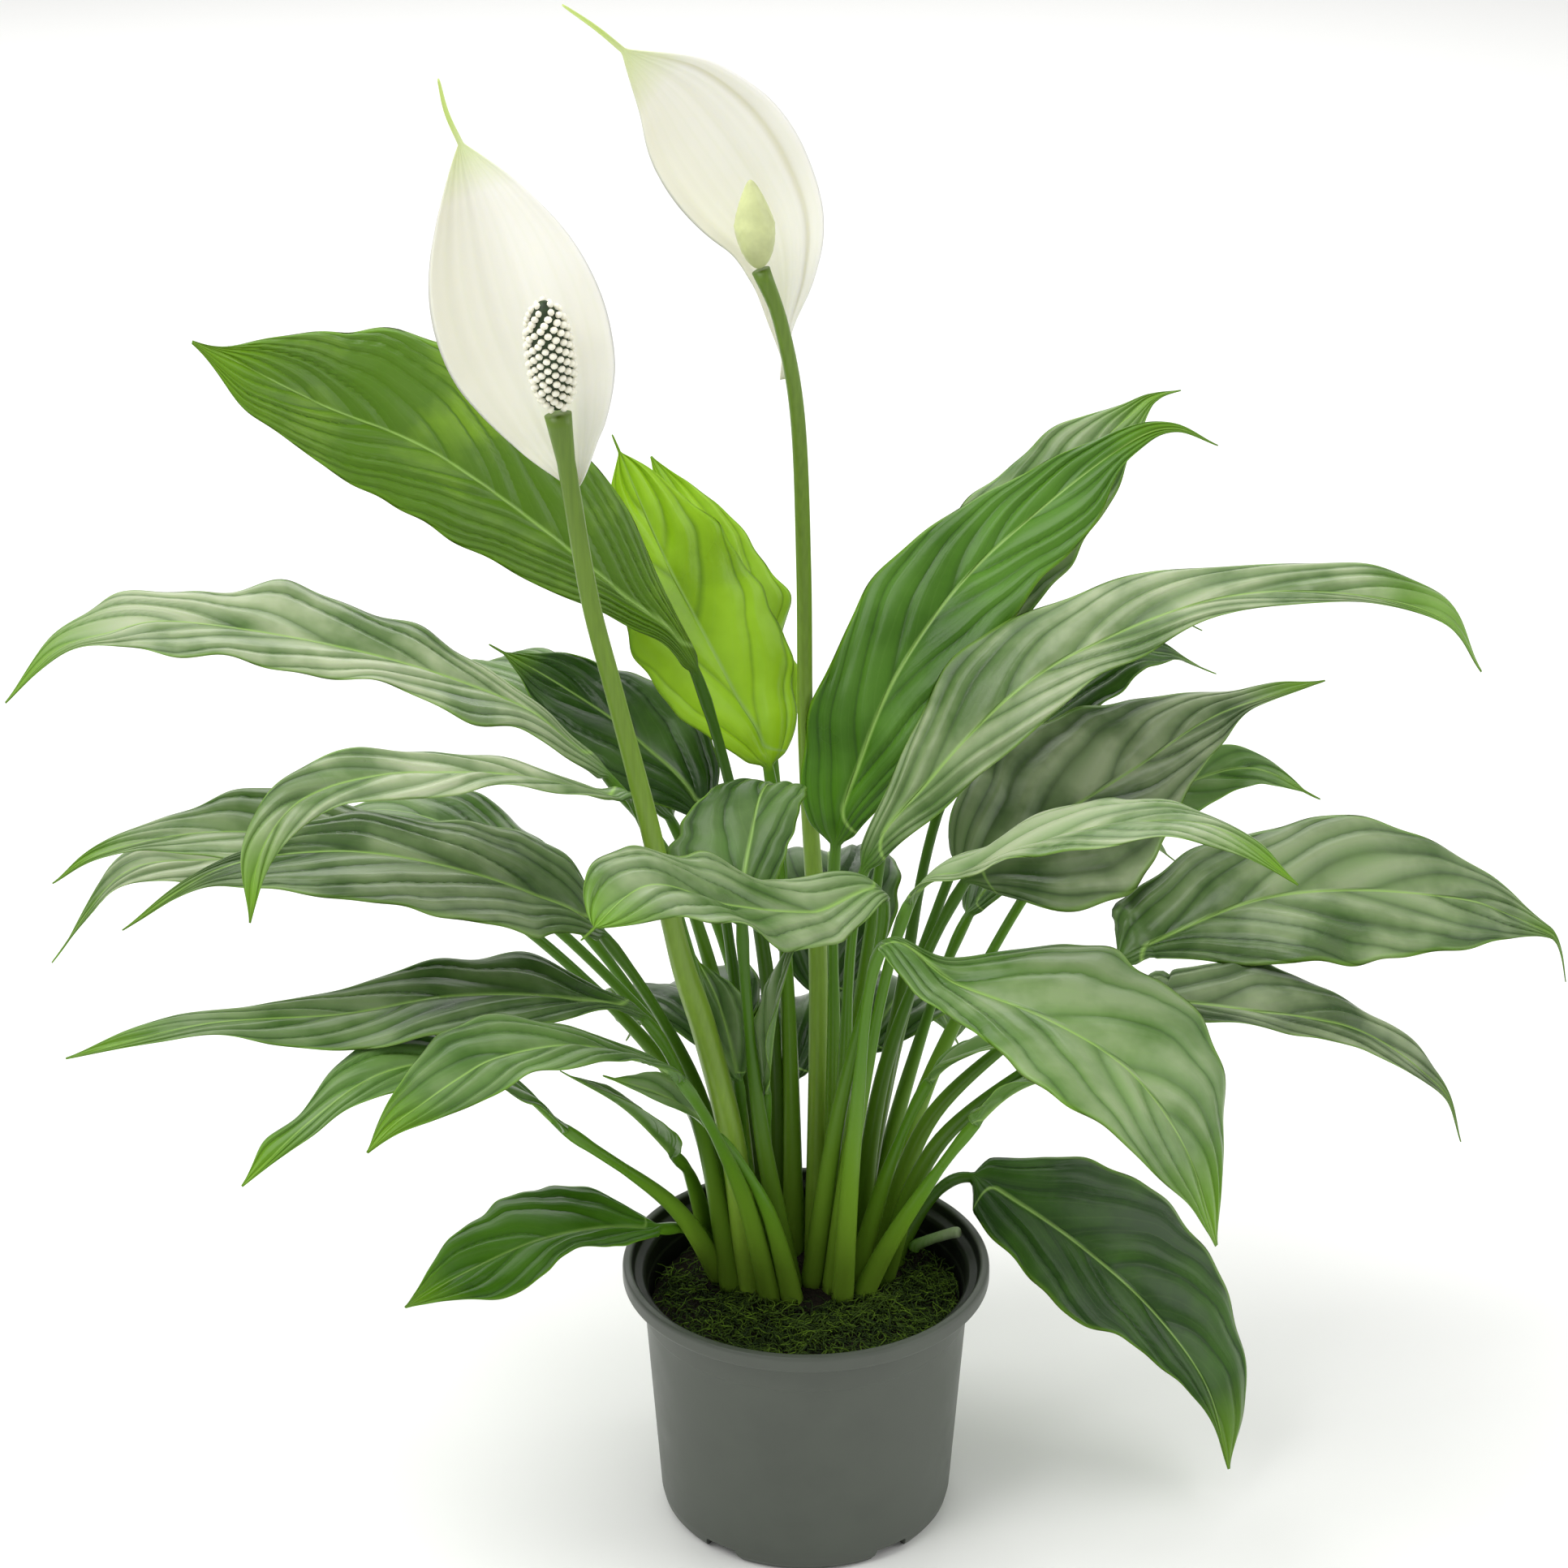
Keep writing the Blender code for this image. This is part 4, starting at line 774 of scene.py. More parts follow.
def tube(name, rings, sides):
    """A capped tube primitive, one unit long for each ring."""
    bm = bmesh.new()
    depth = rings - 1.0
    bmesh.ops.create_cone(bm, cap_ends=True, segments=sides, radius1=1.0, radius2=1.0, depth=depth)
    bmesh.ops.translate(bm, verts=bm.verts, vec=(0.0, 0.0, depth / 2))
    sides_up = [e for e in bm.edges if abs(e.verts[0].co.z - e.verts[1].co.z) > 0.5]
    bmesh.ops.subdivide_edges(bm, edges=sides_up, cuts=rings - 2)
    return mesh_from(bm, name)


def mesh_from(bm, name, smooth=True):
    mesh = bpy.data.meshes.new(name)
    for face in bm.faces:
        face.smooth = smooth
    bm.to_mesh(mesh)
    bm.free()
    return mesh


def points_of(mesh):
    flat = np.empty(len(mesh.vertices) * 3)
    mesh.vertices.foreach_get("co", flat)
    return flat.reshape(-1, 3)


def move_points(mesh, points):
    mesh.vertices.foreach_set("co", np.ascontiguousarray(points * MM, dtype=np.float32).ravel())
    mesh.update()


def mark(mesh, name, values):
    """Keeps a number for each vertex, for the materials to read."""
    attribute = mesh.attributes.new(name, "FLOAT", "POINT")
    attribute.data.foreach_set("value", np.broadcast_to(values, len(mesh.vertices)).astype(np.float32))


def add_piece(name, mesh, material, slot, *nodes):
    """Puts a finished mesh in the scene, on the plant's body, in place of its CAD nodes."""
    piece = bpy.data.objects.new(name, mesh)
    bpy.context.scene.collection.objects.link(piece)
    mesh.materials.append(material)
    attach(piece, BODY)
    if nodes:
        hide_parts(*nodes)
    return piece


def ring_and_turn(mesh):
    """Which ring of a tube each vertex is on, and its angle round it."""
    points = points_of(mesh)
    return np.rint(points[:, 2]).astype(int), np.arctan2(points[:, 1], points[:, 0])


def half_widths(leaf, share):
    """A blade's half widths on its left and on its right, in millimetres."""
    if not leaf.edges:
        half = outline(share, leaf.broadest, leaf.taper) * leaf.width / 2
        return half, half
    stops, *halves = np.array(leaf.edges).T
    ticks = np.linspace(0.0, 1.0, 201)
    blur = np.hanning(21)
    blur /= blur.sum()
    runs = [np.pad(np.interp(ticks, stops, half), 10, mode="edge") for half in halves]
    return [np.interp(share, ticks, np.convolve(run, blur, "valid")) for run in runs]


def leaf_mesh(leaf, order, looks):
    """A leaf in one closed piece: sheath, stalk, swollen collar and pleated blade."""
    luck = np.random.default_rng(100 + order)
    foot = (*leaf.foot, FOOT)
    buried = (*leaf.foot, FOOT - BURIED)
    spine = Spine([buried, foot, *leaf.stalk, *leaf.blade], len(leaf.stalk) + 2)
    heading = np.array(leaf.blade[-1], float) - np.array(leaf.blade[0], float)
    heading[2] = 0.0
    heading /= np.linalg.norm(heading)
    blade_length = spine.total - spine.collar
    share = np.concatenate([
        np.linspace(-1.0, 0.0, STALK_RINGS, endpoint=False), np.linspace(0.0, 1.0, BLADE_RINGS)
    ])
    on_blade = np.maximum(share, 0.0)
    length = np.where(share < 0, (1.0 + share) * spine.collar, spine.collar + share * blade_length)

    # The stalk swells into a sheath at its foot, and into a collar just under the blade.
    low = np.clip(1.0 - (share + 1.0) / 0.72, 0.0, 1.0)
    below = (spine.collar - length) / 6.0
    radius = 1.7 + 2.1 * low**0.8 + 0.35 * np.exp(-((below - 1.0) ** 2))
    flat = smoothstep(0.0, 0.08, share)
    ragged = 1.0 + 0.02 * np.sin(share * 31.0 + luck.uniform(0, 6.3)) + 0.015 * np.sin(share * 57.0 + order)
    least = 1.3 * (1.0 - on_blade) ** 0.5 * smoothstep(0.7, 0.9, on_blade) + 0.2
    least = np.maximum(least, radius * (1.0 - smoothstep(0.0, 0.25, share)))
    begun = ragged * smoothstep(0.0, 0.04, share)
    left_half, right_half = (np.maximum(half * begun, least) for half in half_widths(leaf, on_blade))
    thick = looks.blade_thickness / MM / 2 * (1.1 - 0.5 * on_blade) * flat + radius * (1.0 - flat)
    roll = leaf.roll + (leaf.tip_roll - leaf.roll) * on_blade

    mesh = tube(leaf.name, len(share), LEAF_SIDES)
    ring, turn = ring_and_turn(mesh)
    s, w = on_blade[ring], flat[ring]
    width = np.where(np.abs(turn) < math.pi / 2, left_half[ring], right_half[ring])
    q = 1.0 - 2.0 * np.abs(turn) / math.pi
    q = np.sign(q) * np.abs(q) ** 1.12
    upper = np.sin(turn) >= 0
    edge = np.sqrt(np.clip((1.0 - np.abs(q)) * 8.0, 0.0, 1.0)) * np.sign(np.sin(turn))
    x = (1.0 - w) * np.cos(turn) + w * q
    y = (1.0 - w) * np.sin(turn) + w * edge

    # The halves rise from the midrib, bow over and come down again towards the margin.
    bow = leaf.arch * (1.0 - 0.5 * s)
    reach = np.abs(x)
    lift = width * w * ((leaf.fold + bow) * reach - bow * reach**2)

    # The margin swings in and out of the blade, each side in its own time.
    waves = blade_length / luck.uniform(*WAVE_SPAN)
    left_phase, right_phase = luck.uniform(0.0, math.tau, 2)
    phase = np.where(x > 0, left_phase, right_phase)
    swing = np.sin(math.tau * waves * s + phase)
    swing += 0.5 * np.sin(math.tau * waves * 1.9 * s + 2.0 * phase)
    body = smoothstep(0.03, 0.3, s) * (1.0 - smoothstep(0.8, 1.0, s))
    lift += leaf.wave * swing * reach**2.2 * body * np.minimum(1.0, width / 14.0)

    # Side veins leave the midrib at a slant, sweep towards the tip and pull the blade into pleats.
    slant = leaf.lead * reach * (2.2 + 2.2 * reach) * leaf.width / 2 / blade_length
    count = blade_length / leaf.gap
    veins = count * (s - slant) + np.where(x > 0, 0.0, 0.4) + luck.uniform(0.0, 1.0)
    veins += 0.16 * np.sin(1.9 * veins + 3.0 * reach + order) + 0.1 * np.sin(4.7 * veins + order)
    swell = np.abs(np.sin(math.pi * veins)) ** 0.8 - 0.6
    swell *= 0.75 + 0.45 * np.sin(2.3 * veins + order)
    room = smoothstep(0.02, 0.16, reach) * (1.0 - reach**5) * smoothstep(0.02, 0.14, s)
    room *= 1.0 - smoothstep(0.86, 1.0, s)
    lift += looks.pleat / MM * swell * room * np.minimum(1.0, width / 10.0)

    # The midrib stands out below and sinks in above.
    out = x * width
    rib = np.exp(-((out / 1.3) ** 2)) * w
    lift -= np.where(upper, 0.35, 0.95) * rib * (1.0 - s) ** 0.7

    centre, _, left, normal = spine.frames(length, heading, roll)
    points = centre[ring] + left[ring] * out[:, None] + normal[ring] * (lift + y * thick[ring])[:, None]
    move_points(mesh, points)
    mark(mesh, "along", share[ring])
    mark(mesh, "across", x * w)
    mark(mesh, "offset", out * w + 9.0 * (1.0 - w))
    mark(mesh, "veins", veins)
    mark(mesh, "under", np.where(upper, 0.0, 1.0) * w)
    # The leaf's tone, partly its age and partly painted shade, and how much painted sheen its crests carry.
    mark(mesh, "tone", leaf.tone)
    mark(mesh, "painted_sheen", leaf.painted_sheen)
    return mesh


def spathe_mesh(name, points, width, broadest, taper, roll, cup, order):
    """A hooded spathe: a thin cupped blade that ends in a narrow curled tail."""
    luck = np.random.default_rng(300 + order)
    spine = Spine(points)
    share = np.linspace(0.0, 1.0, BLADE_RINGS)
    blade_half = outline(share, broadest, taper, 0.85) * width / 2
    tail_half = 1.7 * (1.0 - share) ** 0.5 * smoothstep(0.4, 0.8, share) + 0.25
    half = np.maximum(np.maximum(blade_half, tail_half), 1.5 * (1.0 - smoothstep(0.0, 0.08, share)))
    thick = 0.32 * (1.0 - 0.3 * share)
    mesh = tube(name, len(share), LEAF_SIDES)
    ring, turn = ring_and_turn(mesh)
    s, wide = share[ring], half[ring]
    q = 1.0 - 2.0 * np.abs(turn) / math.pi
    edge = np.sqrt(np.clip((1.0 - np.abs(q)) * 8.0, 0.0, 1.0)) * np.sign(np.sin(turn))
    reach = np.abs(q)
    lift = cup * wide * reach**1.7
    # Long soft creases fan out from the base.
    crease = 0.0
    for k in range(5):
        at, span = luck.uniform(-0.85, 0.85), luck.uniform(0.05, 0.12)
        crease = crease + luck.uniform(-1.1, 1.1) * np.exp(-(((q - at) / span) ** 2))
    crease = crease * smoothstep(0.03, 0.3, s) * (1.0 - smoothstep(0.7, 0.85, s))
    lift += crease
    swing = np.sin(9.0 * s + 3.0 * order + np.where(q > 0, 0.0, 2.0))
    lift += 1.1 * swing * reach**3 * smoothstep(0.05, 0.3, s) * (1.0 - smoothstep(0.6, 0.85, s))
    rib = np.exp(-((q * wide / 1.4) ** 2))
    lift += np.where(np.sin(turn) >= 0, 0.25, 0.7) * -rib * (1.0 - s)
    centre, _, left, normal = spine.frames(share * spine.total, BACKWARD, roll + 0.0 * share)
    height = lift + edge * thick[ring]
    points = centre[ring] + left[ring] * (q * wide)[:, None] + normal[ring] * height[:, None]
    move_points(mesh, points)
    mark(mesh, "along", s)
    mark(mesh, "across", q)
    # The depth of each crease, read for the painted shade in the hollows.
    mark(mesh, "hollow", -crease)
    return mesh


def stalk_mesh(name, points, radii, rings=90, sides=24):
    """A round stalk. radii are pairs of a share of its length and a radius in millimetres."""
    spine = Spine(points)
    share = np.linspace(0.0, 1.0, rings)
    mesh = tube(name, rings, sides)
    ring, turn = ring_and_turn(mesh)
    stops, sizes = zip(*radii)
    radius = np.interp(share, stops, sizes)
    centre, _, left, normal = spine.frames(share * spine.total, BACKWARD, 0.0 * share)
    ridge = 1.0 + 0.02 * np.cos(5.0 * turn + 0.6)
    size = (radius[ring] * ridge)[:, None]
    out = left[ring] * np.cos(turn)[:, None] + normal[ring] * np.sin(turn)[:, None]
    points = centre[ring] + out * size
    move_points(mesh, points)
    mark(mesh, "along", share[ring])
    return mesh


def row_of(bm, count):
    """Copies what the bmesh holds into a row of count along X."""
    made = 1
    while made < count:
        copies = bmesh.ops.duplicate(bm, geom=bm.verts[:] + bm.edges[:] + bm.faces[:])["geom"]
        verts = [g for g in copies if isinstance(g, bmesh.types.BMVert)]
        bmesh.ops.translate(bm, verts=verts, vec=(COPY_GAP * made, 0.0, 0.0))
        made *= 2
    extra = [v for v in bm.verts if v.co.x > COPY_GAP * (count - 0.5)]
    bmesh.ops.delete(bm, geom=extra, context="VERTS")


def numbered(points):
    """Which copy of a row each vertex is in, and its place within the copy."""
    number = np.floor(points[:, 0] / COPY_GAP + 0.5).astype(int)
    local = points.copy()
    local[:, 0] -= COPY_GAP * number
    return number, local


def spin_profile(profile, steps, name, closed=True):
    """Turns a profile of (radius, height) in millimetres about the pot's axis."""
    bm = bmesh.new()
    verts = [bm.verts.new((r * MM, 0.0, z * MM)) for r, z in profile]
    edges = [bm.edges.new(pair) for pair in zip(verts, verts[1:])]
    if closed:
        edges.append(bm.edges.new((verts[-1], verts[0])))
    bmesh.ops.spin(
        bm, geom=verts + edges, cent=(0, 0, 0), axis=(0, 0, 1), angle=math.tau, steps=steps,
        use_merge=True,
    )
    bmesh.ops.remove_doubles(bm, verts=bm.verts, dist=1e-6)
    bmesh.ops.recalc_face_normals(bm, faces=bm.faces)
    return mesh_from(bm, name)


def rounded(profile, radius):
    """The profile with each of its corners turned into a short arc."""
    out = []
    for k, corner in enumerate(profile):
        corner = Vector(corner)
        if corner.x < 1e-6:
            out.append(tuple(corner))
            continue
        before = Vector(profile[k - 1]) - corner
        after = Vector(profile[(k + 1) % len(profile)]) - corner
        cut = min(radius, before.length * 0.45, after.length * 0.45)
        start, end = corner + before.normalized() * cut, corner + after.normalized() * cut
        for t in (0.0, 0.25, 0.5, 0.75, 1.0):
            out.append(tuple(start * (1 - t) ** 2 + corner * 2 * t * (1 - t) + end * t * t))
    return out


# ---------------------------------------------------------------- operators


class LilyOperator:
    bl_options = {"REGISTER", "UNDO"}


class LILY_OT_pot(LilyOperator, bpy.types.Operator):
    """Builds the thin grey nursery pot, with its rolled rim, step and notched foot"""

    bl_idname = "lily.pot"
    bl_label = "Pot"

    def execute(self, context):
        looks = context.scene.lily_pot
        profile = rounded(POT_OUTER + POT_INNER, looks.fillet / MM)
        pot = bpy.data.objects.new("pot_shell", spin_profile(profile, looks.steps, "pot_shell"))
        context.scene.collection.objects.link(pot)
        for k in range(NOTCHES):
            angle = (k + 0.5) * math.tau / NOTCHES - math.pi / 2
            self.cut(pot, 4, 11.0, 8.0, 6.6, (47.0, angle, 1.3), angle + math.pi / 4)
            self.cut(pot, 24, DRAIN_RADIUS, DRAIN_RADIUS, 12.0, (DRAIN_AT, angle, 4.0), 0.0)
        context.view_layer.update()
        evaluated = pot.evaluated_get(context.evaluated_depsgraph_get())
        mesh = bpy.data.meshes.new_from_object(evaluated)
        for cut in list(pot.modifiers):
            bpy.data.objects.remove(cut.object)
        bpy.data.objects.remove(pot)
        mesh.name = "nursery_pot"
        mesh.set_sharp_from_angle(angle=math.radians(40))
        points = points_of(mesh) / MM
        radius = np.hypot(points[:, 0], points[:, 1])
        wall = np.interp(points[:, 2], [0.0, 84.0, 86.5, 90.0], [45.0, 53.3, 56.9, 57.4])
        mark(mesh, "inside", smoothstep(0.0, 0.4, wall - radius))
        add_piece("nursery_pot", mesh, pot_material(looks), "pot", "pot")
        return {"FINISHED"}

    def cut(self, pot, sides, low, high, height, place, turn):
        """Cuts a tapered shape out of the pot. Its place is how far out, at what angle and how high."""
        bm = bmesh.new()
        bmesh.ops.create_cone(
            bm, cap_ends=True, segments=sides, radius1=low * MM, radius2=high * MM, depth=height * MM
        )
        cutter = bpy.data.objects.new("cutter", mesh_from(bm, "cutter", smooth=False))
        bpy.context.scene.collection.objects.link(cutter)
        out, angle, up = place
        cutter.location = (out * math.cos(angle) * MM, out * math.sin(angle) * MM, up * MM)
        cutter.rotation_euler.z = turn
        modifier = pot.modifiers.new("cut", "BOOLEAN")
        modifier.solver = "EXACT"
        modifier.object = cutter


class LILY_OT_soil(LilyOperator, bpy.types.Operator):
    """Fills the pot with crumbly potting soil, and heaps it over the plant's crown"""

    bl_idname = "lily.soil"
    bl_label = "Soil and crown"

    def execute(self, context):
        looks = context.scene.lily_bed
        material = soil_material(looks)
        top = [(r, SOIL_TOP) for r in np.linspace(0.0, 50.0, 46)]
        profile = top + [(51.0, SOIL_TOP - 2.5), (45.6, 8.4), (43.2, 5.9), (0.0, 5.9)]
        mesh = spin_profile(profile, 180, "soil", closed=False)
        points = points_of(mesh) / MM
        x, y = points[:, 0], points[:, 1]
        surface = points[:, 2] > SOIL_TOP - 1.0
        lumps = np.sin(0.31 * x + 1.0) * np.sin(0.27 * y)
        lumps += 0.6 * np.sin(0.9 * x + 0.5 * y) * np.sin(0.8 * y - 0.3 * x)
        lumps += 0.5 * np.sin(2.1 * x) * np.sin(1.9 * y + 0.7)
        points[:, 2] += np.where(surface, 0.45 * lumps - 0.4, 0.0)
        move_points(mesh, points)
        add_piece("potting_soil_bed", mesh, material, "soil", "potting_soil")

        top = [(r / MM, 0.0) for r in np.linspace(0.0, 1.0, 24)]
        mesh = spin_profile(top + [(1.0 / MM, -2.0 / MM), (0.0, -2.0 / MM)], 96, "crown", closed=False)
        points = points_of(mesh)
        radius = np.hypot(points[:, 0], points[:, 1])
        x = points[:, 0] * CROWN_RADII[0] + CROWN_CENTRE[0]
        y = points[:, 1] * CROWN_RADII[1] + CROWN_CENTRE[1]
        knobs = 0.7 * np.sin(0.8 * x + 0.4) * np.sin(0.75 * y) + 0.4 * np.sin(1.7 * x - y)
        dome = CROWN_TOP - 0.6 - 3.2 * radius**3 + knobs * (1.0 - radius**4)
        z = np.where(points[:, 2] < -1.0, SOIL_TOP - 0.6, dome)
        move_points(mesh, np.stack([x, y, z], axis=1))
        add_piece("crown_mound", mesh, material, "crown", "crown")
        return {"FINISHED"}


class LILY_OT_moss(LilyOperator, bpy.types.Operator):
    """Lays curly strands of moss over the soil, thickest at the front and right"""

    bl_idname = "lily.moss"
    bl_label = "Moss"

    def execute(self, context):
        looks = context.scene.lily_bed
        count, rings = looks.strands, 6
        bm = bmesh.new()
        bmesh.ops.create_cone(bm, cap_ends=True, segments=3, radius1=1.0, radius2=1.0, depth=rings - 1.0)
        bmesh.ops.translate(bm, verts=bm.verts, vec=(0.0, 0.0, (rings - 1.0) / 2))
        uprights = [e for e in bm.edges if abs(e.verts[0].co.z - e.verts[1].co.z) > 0.5]
        bmesh.ops.subdivide_edges(bm, edges=uprights, cuts=rings - 2)
        row_of(bm, count)
        mesh = mesh_from(bm, "moss")
        number, local = numbered(points_of(mesh))
        ring = np.rint(local[:, 2]).astype(int)
        turn = np.arctan2(local[:, 1], local[:, 0])

        luck = np.random.default_rng(7)
        x, y = self.places(luck, count)
        hump = 2.2 + 1.3 * np.sin(0.16 * x + 1.0) * np.sin(0.18 * y)
        hump += 1.2 * np.sin(0.45 * x) * np.sin(0.4 * y + 1.0)
        heap = np.maximum(hump, 0.3)
        height = SOIL_TOP + heap * luck.uniform(0.1, 1.0, count) ** 0.6
        compass = luck.uniform(0.0, math.tau, count)
        curl = luck.normal(0.0, 1.7, count)
        pitch = luck.uniform(-0.1, 0.9, count)
        drop = luck.uniform(0.2, 2.0, count)
        size = looks.strand_length / MM * luck.uniform(0.5, 1.5, count)
        girth = luck.uniform(0.2, 0.44, count)
        t = np.linspace(0.0, 1.0, rings)[None, :]
        way = compass[:, None] + curl[:, None] * t + 0.5 * np.sin(9.0 * t + compass[:, None])
        rise = pitch[:, None] - drop[:, None] * t
        step = np.stack([np.cos(way) * np.cos(rise), np.sin(way) * np.cos(rise), np.sin(rise)], axis=-1)
        path = np.cumsum(step, axis=1) * (size / rings)[:, None, None]
        path += np.stack([x, y, height], axis=1)[:, None, :] - path[:, :1, :]
        limit = np.hypot(path[..., 0], path[..., 1])
        path[..., :2] *= np.minimum(1.0, 50.2 / np.maximum(limit, 1.0))[..., None]
        path[..., 2] = np.maximum(path[..., 2], SOIL_TOP - 0.2)
        side = np.stack([-np.sin(way), np.cos(way), np.zeros_like(way)], axis=-1)
        up = np.cross(step, side)
        radius = girth[:, None] * (1.0 - 0.75 * t)
        points = path[number, ring] + radius[number, ring][:, None] * (
            side[number, ring] * np.cos(turn)[:, None] + up[number, ring] * np.sin(turn)[:, None]
        )
        move_points(mesh, points)
        # Each strand's tone: a random share of its own, painted light that grows with its height on the heap,
        # and darker towards its foot.
        lit = luck.uniform(0.0, 1.0, count) ** 2.2
        lit = np.clip(lit * 0.8 + 0.3 * (height - SOIL_TOP - 1.5) / 3.0, 0.0, 1.0)
        mark(mesh, "tone", np.clip(lit[number] * (0.55 + 0.45 * ring / (rings - 1)), 0.0, 1.0))
        add_piece("moss_strands", mesh, moss_material(looks), "moss", "moss")
        return {"FINISHED"}

    def places(self, luck, count):
        """Where the strands root: round the crown, thinner at the left and at the back."""
        kept_x, kept_y = [], []
        while len(kept_x) < count:
            x, y = luck.uniform(-49.0, 49.0, 2)
            if math.hypot(x, y) > 49.5:
                continue
            near = math.hypot((x - CROWN_CENTRE[0]) / 31.0, (y - CROWN_CENTRE[1]) / 21.0)
            if near < 1.0:
                continue
            front = 1.0 if y < 12.0 else 0.35
            patch = 0.5 + 0.5 * math.sin(0.16 * x + 2.0) * math.sin(0.19 * y + 0.5)
            if x < -28.0:
                front *= 0.5
            if luck.uniform() < front * (0.35 + 0.65 * patch):
                kept_x.append(x)
                kept_y.append(y)
        return np.array(kept_x), np.array(kept_y)


class LILY_OT_leaves(LilyOperator, bpy.types.Operator):
    """Grows every leaf, from its sheath to its tip"""

    bl_idname = "lily.leaves"
    bl_label = "Leaves"

    def execute(self, context):
        looks = context.scene.lily_leaf
        mature = leaf_material("waxy_leaf", looks, looks.dark, looks.light)
        young = leaf_material("young_leaf", looks, looks.young_shade, looks.young)
        for order, leaf in enumerate(LEAVES):
            mesh = leaf_mesh(leaf, order, looks)
            slot = "young_leaf" if leaf.young else "leaf"
            add_piece(leaf.name + "_leaf", mesh, young if leaf.young else mature, slot, "leaf_" + leaf.name)
        return {"FINISHED"}


class LILY_OT_flowers(LilyOperator, bpy.types.Operator):
    """Grows both flowers: stalks, spathes and spadices"""

    bl_idname = "lily.flowers"
    bl_label = "Flowers"

    def execute(self, context):
        looks = context.scene.lily_flower
        sheath = context.scene.lily_leaf.sheath
        green = stalk_material("flower_stalk_skin", sheath, looks.stalk)
        radii = [(0.0, 4.3), (0.38, 4.0), (0.47, 3.3), (0.7, 2.8), (0.955, 2.7), (1.0, 4.0)]
        buried = (*STALK_LEFT[0][:2], FOOT - BURIED)
        mesh = stalk_mesh("left_stalk", [buried, *STALK_LEFT], radii)
        add_piece("left_flower_stalk", mesh, green, "stalk", "flower_stalk_left")
        radii = [(0.0, 3.4), (0.4, 3.0), (0.5, 2.5), (0.97, 2.2), (1.0, 2.8)]
        buried = (*STALK_RIGHT[0][:2], FOOT - BURIED)
        mesh = stalk_mesh("right_stalk", [buried, *STALK_RIGHT], radii)
        add_piece("right_flower_stalk", mesh, green, "stalk", "flower_stalk_right")

        petal = spathe_material(looks)
        mesh = spathe_mesh("left_spathe", SPATHE_LEFT, 52, 0.5, 1.0, -12, 0.36, 0)
        add_piece("left_spathe", mesh, petal, "spathe", "spathe_left")
        mesh = spathe_mesh("right_spathe", SPATHE_RIGHT, 41, 0.6, 1.15, 10, 0.25, 1)
        add_piece("right_spathe", mesh, petal, "spathe", "spathe_right")
        self.ripe_spadix(looks)
        self.young_spadix(looks)
        return {"FINISHED"}

    def spike(self, foot, top, name, u, v):
        """A unit sphere to shape into a spike, its points, and the spike's two ends."""
        bm = bmesh.new()
        bmesh.ops.create_uvsphere(bm, u_segments=u, v_segments=v, radius=1.0)
        mesh = mesh_from(bm, name)
        return mesh, points_of(mesh), np.array(foot, float), np.array(top, float)

    def to_place(self, local, foot, top):
        """Points along a spike's own axis moved between its two ends."""
        axis = Vector(top - foot)
        turn = np.array(axis.to_track_quat("Z", "Y").to_matrix())
        return local @ turn.T + (foot + top) / 2

    def ripe_spadix(self, looks):
        """White florets packed in offset rings round a dark core."""
        mesh, local, foot, top = self.spike(*SPADIX_LEFT, "left_core", 40, 28)
        half = np.linalg.norm(top - foot) / 2
        local = local * np.array((RIPE_RADIUS - 1.0, RIPE_RADIUS - 1.0, half - 1.0))
        move_points(mesh, self.to_place(local, foot, top))
        # The dark core shows between the florets: its green darkened with painted shade of the pits between
        # them.
        lit_gap = tuple(c * 2.0 for c in looks.gap)
        core = plain_plant_material("spadix_core", looks.gap, lit_gap, 500.0, 0.6)
        add_piece("left_spadix_core", mesh, core, "spadix_ripe")

        spots = []
        for row in range(looks.floret_rows):
            up = -1.0 + 2.0 * (row + 0.5) / looks.floret_rows
            fat = math.sqrt(max(0.0, 1.0 - abs(up) ** 2.6))
            ring = max(3, round(looks.floret_ring * fat))
            for k in range(ring):
                spots.append((up, (k + 0.5 * (row % 2)) * math.tau / ring, fat))
        up, angle, fat = (np.array(c) for c in zip(*spots))
        bm = bmesh.new()
        bmesh.ops.create_uvsphere(bm, u_segments=8, v_segments=5, radius=1.0)
        row_of(bm, len(spots))
        mesh = mesh_from(bm, "florets")
        number, bead = numbered(points_of(mesh))
        luck = np.random.default_rng(5)
        size = luck.uniform(1.06, 1.2, len(spots))[number]
        flat = np.where(fat < 0.6, 0.85, 1.05)[number]
        out = np.stack([np.cos(angle), np.sin(angle), 0.0 * angle], axis=1)
        side = np.stack([-np.sin(angle), np.cos(angle), 0.0 * angle], axis=1)
        slope = np.clip(up, -0.95, 0.95) ** 5
        lean = np.stack([out[:, 0] * (1 - abs(slope)), out[:, 1] * (1 - abs(slope)), slope], axis=1)
        lean /= np.linalg.norm(lean, axis=1)[:, None]
        rise = np.cross(lean, side)
        base = out * (fat * (RIPE_RADIUS - 0.9))[:, None]
        base[:, 2] += up * (half - 1.0)
        local = (
            base[number]
            + side[number] * (bead[:, :1] * (size * flat)[:, None])
            + rise[number] * (bead[:, 1:2] * (size * 0.92)[:, None])
            + lean[number] * (bead[:, 2:] * 1.15)
        )
        move_points(mesh, self.to_place(local, foot, top))
        shaded = tuple(c * 0.86 for c in looks.floret)
        white = plain_plant_material("ripe_floret", looks.floret, shaded, 350.0, 0.45)
        add_piece("left_spadix_florets", mesh, white, "spadix_ripe", "spadix_left")

